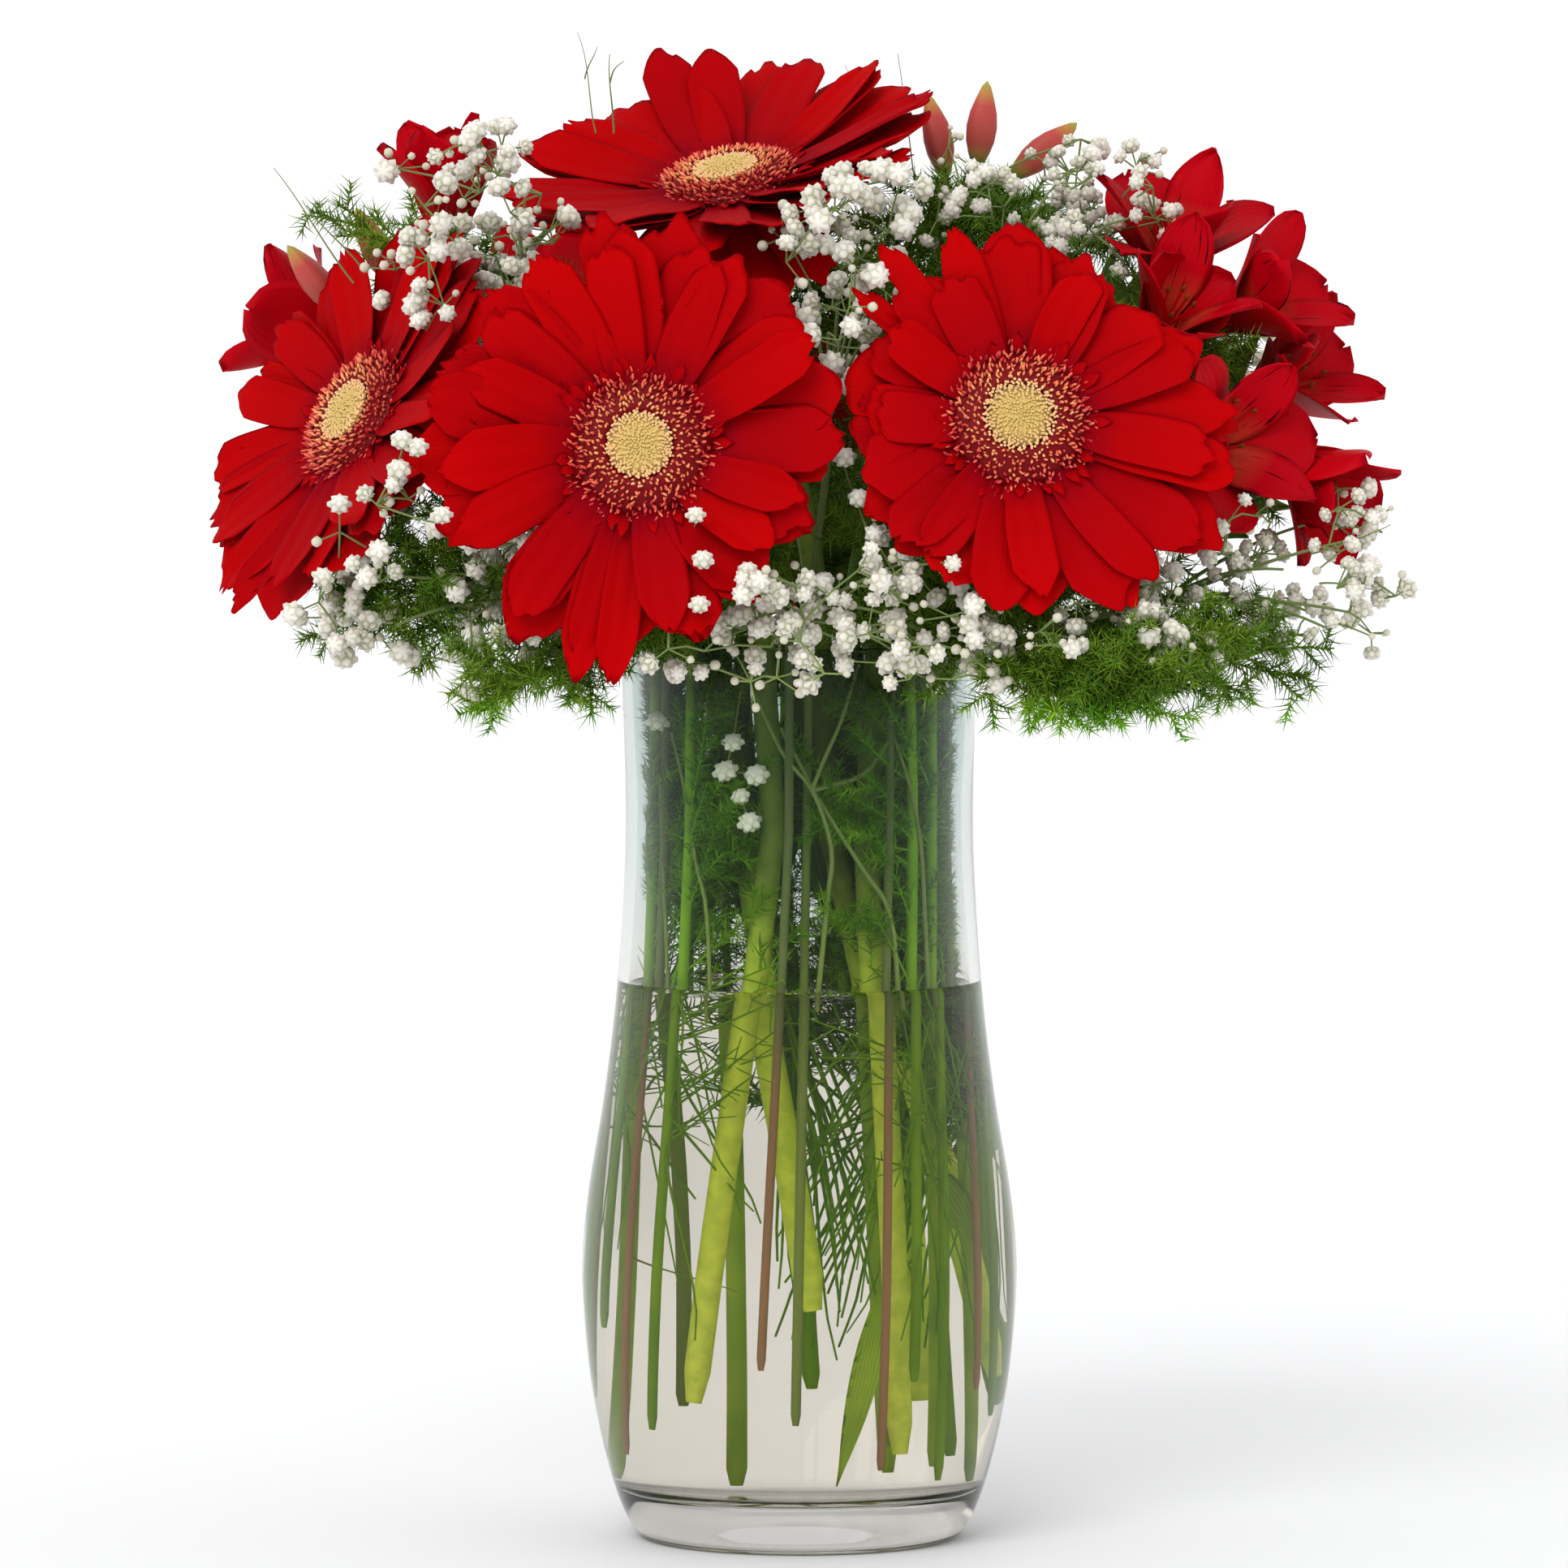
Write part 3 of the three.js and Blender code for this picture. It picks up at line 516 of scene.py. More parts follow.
glass = finish("clear glass", Roughness=0.0, IOR=1.5, Transmission_Weight=1.0,
               Specular_Tint=(0.16, 0.16, 0.16, 1))
# Painted shade: the glass is greyer at its thick foot, and up the neck it is tinted darker and greener, which
# darkens what is seen through the crowded neck.
glass_tint_and_neck_shade = ramp(glass, height_share(glass, VASE_HEIGHT * MM), [
    (0.0, (0.58, 0.565, 0.54)), (0.05, (0.6, 0.585, 0.56)), (0.08, (0.85, 0.835, 0.80)),
    (0.6, (0.85, 0.835, 0.80)), (0.66, (0.80, 0.82, 0.79)), (0.8, (0.70, 0.76, 0.74)),
    (1.0, (0.60, 0.66, 0.64))])
colour_from(glass, glass_tint_and_neck_shade)
relief(glass, speckle(glass, 30.0, 0.0), 0.12, 0.0015)
vase = finished("vase_glass", [turned(shell + [(0, FLOOR_HEIGHT)], VASE_STEPS)], glass, "vase", "vase")
print("vase", len(vase.data.polygons), "faces,", round(vase.dimensions.z / MM, 1), "mm high")

# %% [markdown]
# ## Water
# The water fills the vase to about two thirds. It climbs the glass by a millimetre or two, which draws the
# fine line at its surface. For light to pass from glass to water without a film of air, the water's skin
# lies a hair inside the glass wall. Stems stand in it with no hole: an opaque thing in a clear one needs
# none.

# %% Water
WATER_LEVEL = 154
BITE = 0.06
CREEP = 1.6
CREEP_REACH = 5

creep = [(inner_radius(WATER_LEVEL + CREEP) + BITE, WATER_LEVEL + CREEP)]
creep += [(inner_radius(WATER_LEVEL) - CREEP_REACH * x, WATER_LEVEL + CREEP * (1 - x) ** 3)
          for x in np.linspace(0.15, 1, 6)]
bed = [(r + BITE if r > FLAT_RADIUS else r, h - BITE) for r, h in floor_edge]
sides = [(r + BITE, h) for r, h in inside if h < WATER_LEVEL]
water_line = [(0, FLOOR_HEIGHT - BITE)] + bed + sides + creep + [(0, WATER_LEVEL)]

water = finish("clear water", Roughness=0.0, IOR=1.33, Transmission_Weight=1.0,
               Specular_Tint=(0.3, 0.3, 0.3, 1))
colour_from(water, ramp(water, speckle(water, 12.0), [(0.3, (0.88, 0.86, 0.82)), (0.7, (0.91, 0.89, 0.85))]))
filling = finished("water_filling", [turned(water_line, VASE_STEPS)], water, "water", "water")
print("water", len(filling.data.polygons), "faces, level", WATER_LEVEL)

# %% [markdown]
# ## Rows of flowers
# One row for each flower, as a florist would list them: where it is, which way it looks, and where its stem
# stands in the neck. They follow the rows of the CAD source, so every piece lands on its node. `cut` is the
# height of a stem's cut end. `reach` says how far a head's rays go in eight directions, and `long_rays`
# adds single ones: bearing, reach, width and how far they droop or rise. A bud is a head that is 0 open. A
# spray is a cloud round `middle` with so many `hubs`, and `more` lists the ends of a frond's further
# branches.

# %% Gerbera rows
GERBERAS = [
    dict(name="top", at=(-20, 6, 378), faces=(-0.17, -0.36, 0.92), cup=13, size=1.12,
         neck=(8, 2), foot=(42, 6), cut=46, reach=(0.97, 0.98, 1.02, 0.9, 1.0, 1.0, 0.96, 1.0),
         long_rays=((262, 54, 17, -30), (274, 57, 18, -36), (286, 55, 17, -32), (297, 58, 18, -38),
                    (309, 55, 17, -32), (322, 54, 16, -28), (115, 60, 15, 6), (129, 64, 15, 8))),
    dict(name="front_left", at=(-43, -86, 306), faces=(-0.04, -0.98, 0.16), cup=4, size=1.04,
         neck=(-7, -30), foot=(-26, -28), cut=42, reach=(0.96, 1.0, 1.05, 0.97, 1.02, 1.0, 1.0, 0.82),
         long_rays=((252, 66, 12), (264, 65, 11))),
    dict(name="front_right", at=(59, -80, 313), faces=(0.06, -0.94, 0.32), cup=4, size=1, eye=1.12,
         neck=(18, -24), foot=(25, -29), cut=28, reach=(1.03, 0.84, 0.97, 0.84, 0.78, 0.88, 0.97, 1.08),
         long_rays=((126, 62, 8), (141, 58, 7), (108, 57, 12))),
    dict(name="left", at=(-122, -22, 313), faces=(-0.74, -0.5, 0.45), cup=8, size=1.02,
         neck=(-16, -12), foot=(3, -10), cut=66, reach=(0.95, 0.95, 1.0, 1.0, 1.0, 1.02, 1.04, 0.96),
         long_rays=((262, 64, 11), (243, 63, 12))),
    dict(name="back", at=(14, 98, 294), faces=(0.08, 0.9, 0.42), cup=7, size=0.97,
         neck=(14, 25), cut=40, reach=(1.0, 0.95, 1.0, 1.02, 0.96, 1.0, 0.97, 1.0), long_rays=()),
]
print(len(GERBERAS), "gerberas")

# %% Alstroemeria rows
ALSTROEMERIAS = [
    dict(name="left", fork=(-90, 42, 326), neck=(-31, 11), cut=18, heads=[
        ((-98, 34, 356), (-0.1, -0.1, 0.98), 0.45), ((-114, 34, 350), (-0.45, -0.1, 0.88), 0),
        ((-122, 52, 330), (-0.9, 0.25, 0.4), 0.8), ((-129, 28, 342), (-0.62, -0.1, 0.78), 0)]),
    dict(name="top", fork=(36, 30, 348), neck=(11, 12), cut=22, heads=[
        ((50, 32, 383), (0.12, 0, 0.99), 0), ((60, 40, 380), (0.75, 0.05, 0.62), 0),
        ((-4, 70, 366), (-0.05, 0.25, 0.96), 0.5), ((41, 37, 380), (-0.2, 0.1, 0.97), 0)]),
    dict(name="right_high", fork=(86, 8, 326), neck=(33, 3), cut=18, heads=[
        ((103, 2, 347), (0.02, -0.42, 0.9), 0.9), ((112, -8, 337), (0.8, -0.35, 0.48), 0.75),
        ((96, -22, 330), (0.35, -0.55, 0.75), 0.8)]),
    dict(name="right_low", fork=(98, -6, 296), neck=(31, -15), cut=24, heads=[
        ((127, -18, 306), (0.72, -0.45, -0.52), 0.6), ((121, 4, 316), (0.76, -0.3, 0.42), 0.75),
        ((104, -34, 302), (0.6, -0.6, 0.2), 0.9)]),
    dict(name="back", fork=(-56, 82, 316), neck=(-13, 28), cut=18, heads=[
        ((-66, 98, 332), (-0.4, 0.75, 0.5), 0.9), ((-42, 98, 338), (0.2, 0.5, 0.85), 0)]),
]
print(len(ALSTROEMERIAS), "alstroemerias with", sum(len(row["heads"]) for row in ALSTROEMERIAS), "heads")

# %% Gypsophila rows
SPRAYS = [
    dict(name="left_high", fork=(-74, -4, 316), middle=(-90, -33, 358), spread=(23, 25, 30), bearing=180,
         cut=40, hubs=48, size=0.95),
    dict(name="left_low", fork=(-72, -40, 262), middle=(-98, -58, 268), spread=(34, 26, 24), bearing=208,
         cut=26, hubs=44, size=1.0),
    dict(name="front_low", fork=(-4, -62, 258), middle=(0, -82, 263), spread=(50, 17, 21), bearing=266,
         cut=52, hubs=54, size=0.92),
    dict(name="front_high", fork=(8, -40, 312), middle=(12, -56, 350), spread=(19, 22, 28), neck=(2, -18),
         cut=36, hubs=34, size=1.0),
    dict(name="right_high", fork=(58, -10, 330), middle=(70, -12, 373), spread=(33, 24, 18), neck=(18, -10),
         cut=30, hubs=44, size=0.72),
    dict(name="right_low", fork=(98, -42, 262), middle=(138, -47, 272), spread=(25, 20, 23), bearing=349,
         cut=44, hubs=30, size=0.8),
    dict(name="front_right", fork=(54, -62, 250), middle=(76, -82, 256), spread=(36, 16, 13), bearing=306,
         cut=24, hubs=36, size=0.9),
    dict(name="back_right", fork=(98, 62, 290), middle=(112, 70, 306), spread=(24, 26, 30), bearing=26,
         cut=30, hubs=30, size=0.95),
    dict(name="back_left", fork=(-50, 96, 270), middle=(-56, 112, 278), spread=(44, 18, 20), bearing=122,
         cut=38, hubs=30, size=0.95),
]
print(len(SPRAYS), "sprays")

# %% Fern rows
FRONDS = [
    dict(name="left_low", tip=(-126, -34, 262), bearing=195, cut=60, more=(
        (-112, -50, 284), (-104, -60, 276), (-116, -50, 268), (-96, -64, 262), (-108, -42, 290),
        (-88, -70, 268), (-80, -68, 282), (-98, -50, 292), (-104, -56, 288), (-110, -60, 282),
        (-101, -44, 294), (-106, -66, 276), (-94, -58, 286))),
    dict(name="front_left", tip=(-82, -84, 244), bearing=224, cut=34, more=(
        (-40, -68, 262), (-20, -64, 268), (-52, -70, 270), (-64, -64, 280), (-8, -56, 276), (-30, -50, 290))),
    dict(name="front_right", tip=(78, -88, 240), bearing=318, cut=48, more=(
        (20, -64, 266), (40, -66, 262), (34, -54, 280), (60, -70, 258), (92, -74, 250), (12, -50, 290),
        (102, -78, 244), (92, -92, 250), (104, -88, 254), (114, -84, 256), (84, -96, 246), (100, -94, 242),
        (120, -78, 262), (70, -98, 246), (96, -84, 258), (110, -80, 248), (92, -98, 236), (100, -100, 240),
        (108, -94, 238), (116, -90, 244), (98, -96, 256), (112, -92, 256), (88, -102, 234), (122, -86, 250),
        (104, -98, 250), (94, -102, 246), (116, -86, 262), (84, -100, 240), (106, -102, 258))),
    dict(name="right_low", tip=(126, -58, 250), bearing=330, cut=20, more=(
        (112, -56, 262), (122, -66, 244), (102, -62, 246), (130, -44, 262), (108, -44, 272), (90, -58, 270),
        (118, -70, 256), (96, -70, 240))),
    dict(name="right", tip=(104, -40, 330), bearing=2, cut=36, more=(
        (94, -24, 348), (104, -20, 336), (112, -28, 318), (90, -36, 344), (116, -16, 300), (84, -10, 362),
        (116, 5, 333), (128, 10, 318), (136, 8, 308), (112, 12, 346), (122, 14, 336), (106, 18, 352),
        (100, 10, 360), (126, 0, 326), (120, -10, 312), (132, -8, 300), (138, -12, 296), (128, -22, 290),
        (120, -30, 286), (136, -4, 318), (118, 22, 344))),
    dict(name="top", tip=(42, 12, 372), neck=(22, 14), cut=26, wisps=42, more=(
        (-4, -22, 340), (2, -8, 352), (14, -30, 362), (16, 4, 366), (66, 4, 366), (74, -14, 356),
        (60, 12, 374), (72, 4, 368), (84, 2, 362), (90, 10, 352), (50, 8, 370), (56, -8, 360),
        (-6, -14, 350), (-26, -10, 350), (-14, 18, 358), (-30, 10, 352), (4, 16, 362), (-20, -24, 346),
        (78, 16, 374), (66, -24, 350), (60, 28, 374), (72, 34, 370), (84, 30, 364), (92, 26, 356),
        (66, 22, 380), (80, 40, 374), (90, 14, 370))),
    dict(name="left_high", tip=(-122, 6, 366), bearing=166, cut=28, more=(
        (-78, -14, 346), (-84, -26, 330), (-70, -6, 358), (-92, -8, 360), (-88, -22, 344), (-64, -20, 346),
        (-118, 10, 352), (-124, 14, 342), (-56, 0, 356), (-50, -14, 348), (-102, 4, 366), (-110, 0, 360))),
    dict(name="back", tip=(-6, 124, 280), bearing=96, cut=42, wisps=28),
    dict(name="back_right", tip=(72, 116, 268), bearing=54, cut=22, wisps=26),
]
print(len(FRONDS), "fronds")

# %% [markdown]
# ## Stems
# Cut stems cross in the neck of the vase and fan out above and below it. Each one goes straight from its
# cut end to the neck and from there to the rim, and on in a Bezier curve to its flower, which arrives along
# the flower's own axis.

# %% Stem lines
NECK_HEIGHT = 200
RING_RADIUS = 41
RIM_REACH = 42.5
RIM_SPARE = 4
RIM_LEAN = 0.1
FOOT_REACH = 46
FOOT_POWER = 0.8
TWIST = 0.15
BEND_SHARE = 0.32
BEZIER_STEPS = 16
CUT_TAPER = 2.5
CUT_ROUND = 0.6
CALYX_DEPTH = 15
STEM_RADII = {"gerbera": (3.4, 2.8), "alstroemeria": (1.8, 1.6), "gypsophila": (1.2, 0.9),
              "fern": (1.5, 0.7)}


def stem_line(row, end, arrives, thick, thin):
    """The points and radii of a stem, and the points of its curved part."""
    turn = math.radians(row.get("bearing", 0))
    ring = (RING_RADIUS * math.cos(turn), RING_RADIUS * math.sin(turn))
    neck = Vector((*row.get("neck", ring), 0))
    reach = FOOT_REACH * (neck.length / RING_RADIUS) ** FOOT_POWER
    usual = Matrix.Rotation(-TWIST, 3, "Z") @ (neck.normalized() * reach)
    foot = Vector((*row.get("foot", usual[:2]), row["cut"]))
    neck.z = NECK_HEIGHT
    at_rim = Vector((neck.x + (end.x - neck.x) * RIM_LEAN, neck.y + (end.y - neck.y) * RIM_LEAN, 0))
    at_rim *= min(1, (RIM_REACH - thick) / at_rim.length)
    at_rim.z = VASE_HEIGHT + RIM_SPARE
    span = BEND_SHARE * (end - at_rim).length
    leaving = at_rim + (at_rim - neck).normalized() * span
    arc = interpolate_bezier(at_rim, leaving, end - arrives * span, end, BEZIER_STEPS + 1)
    points = [foot, neck, *arc]
    radii = [thick + (thin - thick) * max(0, k - 2) / BEZIER_STEPS for k in range(len(points))]
    return points, radii, arc


def stem_end(kind, row):
    """Where a stem ends, and the way it goes there."""
    if kind == "gerbera":
        return row["at"] - row["faces"] * CALYX_DEPTH, row["faces"]
    if kind == "alstroemeria":
        return row["fork"], Vector((row["fork"].x * 0.004, row["fork"].y * 0.004, 1)).normalized()
    if kind == "gypsophila":
        return Vector(row["fork"]), UP
    lean = Vector((*row["tip"][:2], 0)).normalized() + UP * 0.5
    return Vector(row["tip"]), lean.normalized()


def keep_standing(mesh, owner):
    """Remembers a mesh for the clearance tests and hands it back."""
    shape = bmesh.new()
    shape.from_mesh(mesh)
    standing.append((owner, *outline_of(shape)))
    shape.free()
    return mesh


for row in GERBERAS:
    row["at"], row["faces"] = Vector(row["at"]), Vector(row["faces"]).normalized()
for row in ALSTROEMERIAS:
    row["fork"] = Vector(row["fork"])
for kind, rows in zip(STEM_RADII, (GERBERAS, ALSTROEMERIAS, SPRAYS, FRONDS)):
    for row in rows:
        row["flower"] = f"{kind}_{row['name']}"
        row["line"] = points, radii, _ = stem_line(row, *stem_end(kind, row), *STEM_RADII[kind])
        knuckle = points[0] + (points[1] - points[0]).normalized() * radii[0] * CUT_TAPER
        whole = [points[0], knuckle, *points[1:]], [radii[0] * CUT_ROUND, *radii]
        row["stem"] = keep_standing(tubes([whole]), f"{row['flower']}_stem")
print(len(standing), "stems stand in the vase")

# %% [markdown]
# ## Gerbera: stem and calyx
# A leafless green stem, which swells into a cup of narrow green bracts. Where the stem stands in water its
# colour is painted light: brighter than white reflects, so that it glows through the glass. The cup is
# spun, and the bracts are blades laid over it in two rows.

# %% Gerbera stems
CALYX = [(0, -2), (3.6, 0), (6.2, 2), (8.6, 4.5), (10.4, 6.8), (11.2, 8.8), (10.6, 10.4), (0, 10.6)]
BRACTS = 18
BRACT_ROWS = 2
BRACT_LENGTH = 10.5
BRACT_WIDTH = 3.4
STEM_FINISH_TOP = 0.35

stem_green = finish("gerbera stem", Roughness=0.5, Specular_IOR_Level=0.15)
# Painted light: up to about 165 mm, in the water, the colour is brighter than white reflects, so the stem
# glows through water and glass; above that it turns a plain darker green.
stem_tone_with_painted_glow = ramp(stem_green, height_share(stem_green, STEM_FINISH_TOP),
                 [(0.08, (1.2, 1.4, 0.18)), (0.4, (1.05, 1.3, 0.11)), (0.47, (0.7, 0.9, 0.09)),
                  (0.54, (0.24, 0.34, 0.05)), (1.0, (0.13, 0.24, 0.04))])
stem_fleck = ramp(stem_green, speckle(stem_green, 260.0),
                  [(0.35, (0.86, 0.88, 0.8)), (0.65, (1.08, 1.06, 1.0))])
colour_from(stem_green, times(stem_green, stem_tone_with_painted_glow, stem_fleck))
relief(stem_green, speckle(stem_green, 900.0), 0.3, 0.0004)


def uncut(u):
    """The tip of a blade with no notch or teeth: it is equally long all across."""
    return 0


def bract(row, index, tier):
    """A narrow pointed bract that lies along the cup."""
    axis = row["faces"]
    out = spin_out(axis, 2 * math.pi * (index + 0.5 * tier) / BRACTS)
    across = axis.cross(out)
    lean = axis * 0.72 + out * 0.69
    base = row["at"] - axis * (CALYX_DEPTH - 1.5 - 3 * tier) + out * (4.4 + 2.6 * tier)
    place = matrix_of(across, lean, across.cross(lean), base)
    return mesh_of(blade(place, bent_spine(BRACT_LENGTH, -0.15, -0.5), BRACT_WIDTH / 2,
                         lambda t: 1 - t ** 1.6 * 0.94, uncut, lambda u, t: -0.5 * u * u, (2, 5), 0.45))


for row in GERBERAS:
    cup = turned(CALYX, 24, row["at"] - row["faces"] * CALYX_DEPTH, row["faces"])
    bracts = [bract(row, k, tier) for tier in range(BRACT_ROWS) for k in range(BRACTS)]
    finished(f"{row['flower']}_green", [row["stem"], cup, *bracts], stem_green, "gerbera_stem",
             f"{row['flower']}_stem")
print("gerbera stems", len(GERBERAS))

# %% [markdown]
# ## Gerbera: rays
# A head has some forty broad rays in three layers. Each is flat and velvety, with two shallow grooves, and
# a blunt end with one or two small teeth. They lie over each other like tiles. A grid follows the outline
# and is bent by formulas, because the grooves and teeth need points in known places.

# %% Gerbera rays
HEAD_RADIUS = 58
RAY_WIDTH = 21
RAY_ROOT = 9
RAY_LAYERS = [
    dict(count=14, lift=-1.6, share=1.0, rise=-3.0, wide=0.95),
    dict(count=13, lift=0.0, share=0.98, rise=0.5, wide=0.85),
    dict(count=9, lift=1.4, share=0.91, rise=2.5, wide=0.72),
]
RAY_BENDS = [(0, 1), (4, 1), (-4, 1), (9, 1), (-8, 0.97), (14, 0.95), (5, 0.88), (-10, 0.88), (18, 0.85),
             (8, 0.75)]
RAY_CELLS = (12, 18)
RAY_THICK = 0.4
GROOVE_AT = 0.42
GROOVE_WIDTH = 0.13
GROOVE_DEPTH = 0.5
SEEDS_PER_HEAD = 100
SEEDS_PER_LAYER = 30
LONG_RAY_SEED = 95


def notch(away, width):
    """A soft dip: 1 in its middle, and almost 0 at twice its width."""
    return math.exp(-(away / width) ** 2)


def ray_outline(t):
    """Slim at the root, widest past the middle, and a little narrower again at the tip."""
    swell = 0.4 + 0.6 * math.sin(min(max(t, 0) / 0.62, 1) * math.pi / 2)
    return swell * (1 - 0.2 * max(0, (t - 0.75) / 0.25) ** 2)


def ray_tip(seed):
    """Rounded or pointed, with teeth where the grooves reach the edge. Some rays are cleft."""
    left, right = max(0, between(-0.03, 0.09, seed, 6)), max(0, between(-0.03, 0.09, seed, 7))
    corner, point = between(0.1, 0.24, seed, 8), between(1.2, 2.8, seed, 17)
    cleft = max(0, between(-0.12, 0.08, seed, 16))

    def tip(u):
        teeth = left * notch(u + GROOVE_AT, GROOVE_WIDTH) + right * notch(u - GROOVE_AT, GROOVE_WIDTH)
        return corner * abs(u) ** point + teeth + cleft * notch(u, 0.1)
    return tip


def ray_cross(seed):
    """Two soft grooves, a trough and a slow wave."""
    trough, wave, phase = between(-0.6, 1.9, seed, 9), between(0.3, 1.5, seed, 10), between(0, 6, seed, 11)

    def cross(u, t):
        groove = GROOVE_DEPTH * notch(abs(u) - GROOVE_AT, GROOVE_WIDTH) * min(max(t, 0), 1) ** 0.5
        return trough * u * u * t - groove + wave * u * math.sin(5 * t + phase) * t
    return cross


def reach_at(row, angle):
    """The head's outline isn't round: its reach is given for eight directions and blended between them."""
    spot = (angle / (math.pi / 4)) % 8
    near, far = row["reach"][int(spot) % 8], row["reach"][(int(spot) + 1) % 8]
    return near + (far - near) * (spot % 1)


def ray(row, layer, angle, seed, bend, reach=None, width=None):
    """One ray of a layer. A long ray brings its own reach and width."""
    lean, short = bend
    axis = row["faces"]
    out = spin_out(axis, angle)
    tilt = 0.1 + between(-0.14, 0.14, seed, 3)
    across = out.cross(axis) * math.cos(tilt) + axis * math.sin(tilt)
    usual = HEAD_RADIUS * row["size"] * layer["share"] * between(0.93, 1.05, seed, 2) * reach_at(row, angle)
    tip_at = (reach or usual) * short
    rise = row["cup"] + lean + layer["rise"] * scatter(seed, 4)
    recurve = between(0, 4.5, seed, 12)
    sway = between(-4, 4, seed, 5)
    place = matrix_of(across, out, across.cross(out), row["at"])

    def spine(t):
        t = max(t, 0)
        return RAY_ROOT + (tip_at - RAY_ROOT) * t, layer["lift"] + rise * t ** 1.7 - recurve * t ** 6

    half_width = (width or RAY_WIDTH * layer["wide"] * between(0.8, 1.1, seed, 13)) / 2
    shape = blade(place, spine, half_width, ray_outline, ray_tip(seed), ray_cross(seed), RAY_CELLS,
                  RAY_THICK, hue=scatter(seed, 14))
    along = shape.verts.layers.float["along"]
    for vert in shape.verts:
        vert.co += across * sway * max(vert[along], 0) ** 3
    return shape


def rays_of(row, index):
    """The rays of a head that find room: its three layers, and then its long ones."""
    made = []
    for number, layer in enumerate(RAY_LAYERS):
        for k in range(layer["count"]):
            seed = index * SEEDS_PER_HEAD + number * SEEDS_PER_LAYER + k
            angle = 2 * math.pi * (k + 0.37 * number + between(-0.32, 0.32, seed, 1)) / layer["count"]
            made.append(first_clear(RAY_BENDS, lambda bend: ray(row, layer, angle, seed, bend),
                                    row["flower"]))
    for k, (bearing, reach, width, *droop) in enumerate(row["long_rays"]):
        seed, angle = index * SEEDS_PER_HEAD + LONG_RAY_SEED + k, math.radians(bearing)
        bends = [(lean + sum(droop), short) for lean, short in RAY_BENDS]
        made.append(first_clear(bends, lambda bend: ray(row, RAY_LAYERS[1], angle, seed, bend, reach, width),
                                row["flower"]))
    return [mesh for mesh in made if mesh]


# %% [markdown]
# The red is nearly pure: almost no green or blue comes back from it. It darkens to maroon at the root,
# where a ray lies in shade, and fine veins run along it. A little sheen gives the magenta edge that velvet
# shows at a slant.

# %% Ray finish
ray_red = finish("ray red", Roughness=0.6, Specular_IOR_Level=0.02, Sheen_Weight=0.015, Sheen_Roughness=0.35)
ray_red.node_tree.nodes["Principled BSDF"].inputs["Sheen Tint"].default_value = (1.0, 0.05, 0.3, 1)
ray_along = ramp(ray_red, attribute(ray_red, "along"),
                 [(0.0, (0.10, 0.0, 0.003)), (0.18, (0.20, 0.0, 0.003)), (0.42, (0.36, 0.0, 0.001)),
                  (1.0, (0.44, 0.0, 0.0008))])
ray_own = ramp(ray_red, attribute(ray_red, "hue"), [(0.0, (0.84, 0.8, 2.2)), (1.0, (1.06, 1.0, 0.8))])
ray_lines = vein_lines(ray_red, 46.0)
ray_shade = ramp(ray_red, ray_lines, [(0.0, (0.965, 1, 1)), (1.0, (1.0, 1.0, 1.0))])
colour_from(ray_red, times(ray_red, times(ray_red, ray_along, ray_own), ray_shade))
relief(ray_red, ray_lines, 0.1, 0.0002)

for index, row in enumerate(GERBERAS):
    rays = rays_of(row, index)
    piece = finished(f"{row['flower']}_rays", rays, ray_red, "gerbera_petal", f"{row['flower']}_petals")
    print(piece.name, len(rays), "rays", len(piece.data.polygons), "faces")

# %% [markdown]
# ## Gerbera: the disc
# Inside the rays comes a ring of small florets: little dark red straps whose tips go from red near the rays
# to orange and yellow near the eye. They stand on a low cushion. The eye is a flat mound of closed pale
# yellow buds, packed by the golden angle, as in any daisy.

# %% Disc finishes and patterns
GOLDEN = math.pi * (3 - math.sqrt(5))

floret_red = finish("disc florets", Roughness=0.5, Specular_IOR_Level=0.12)
floret_end = ramp(floret_red, attribute(floret_red, "tint"),
                  [(0.0, (0.98, 0.50, 0.20)), (0.22, (0.92, 0.30, 0.12)), (0.5, (0.84, 0.14, 0.09)),
                   (0.75, (0.62, 0.04, 0.04)), (1.0, (0.26, 0.0, 0.008))])
floret_share = ramp(floret_red, attribute(floret_red, "along"), [(0.25, (0, 0, 0)), (0.6, (1, 1, 1))])
colour_from(floret_red, mixed(floret_red, floret_share, (0.17, 0.0, 0.003), floret_end))

eye_yellow = finish("gerbera eye", Roughness=0.65, Sheen_Weight=0.3)
eye_tone = ramp(eye_yellow, attribute(eye_yellow, "tint"),
                [(0.0, (0.62, 0.44, 0.10)), (0.6, (0.70, 0.47, 0.14)), (1.0, (0.88, 0.50, 0.24))])
colour_from(eye_yellow, eye_tone)

floret_shape = bmesh.new()
bmesh.ops.create_uvsphere(floret_shape, u_segments=5, v_segments=5, radius=0.5)
floret_along = floret_shape.verts.layers.float.new("along")
for vert in floret_shape.verts:
    vert[floret_along] = vert.co.z + 0.5
    vert.co.z += 0.5
    vert.co.x += 0.45 * vert[floret_along] ** 2
floret_mesh = mesh_of(floret_shape)

bud_shape = bmesh.new()
bmesh.ops.create_uvsphere(bud_shape, u_segments=6, v_segments=4, radius=0.5)
bud_mesh = mesh_of(bud_shape)
print("a floret has", len(floret_mesh.polygons), "faces and a bud", len(bud_mesh.polygons))


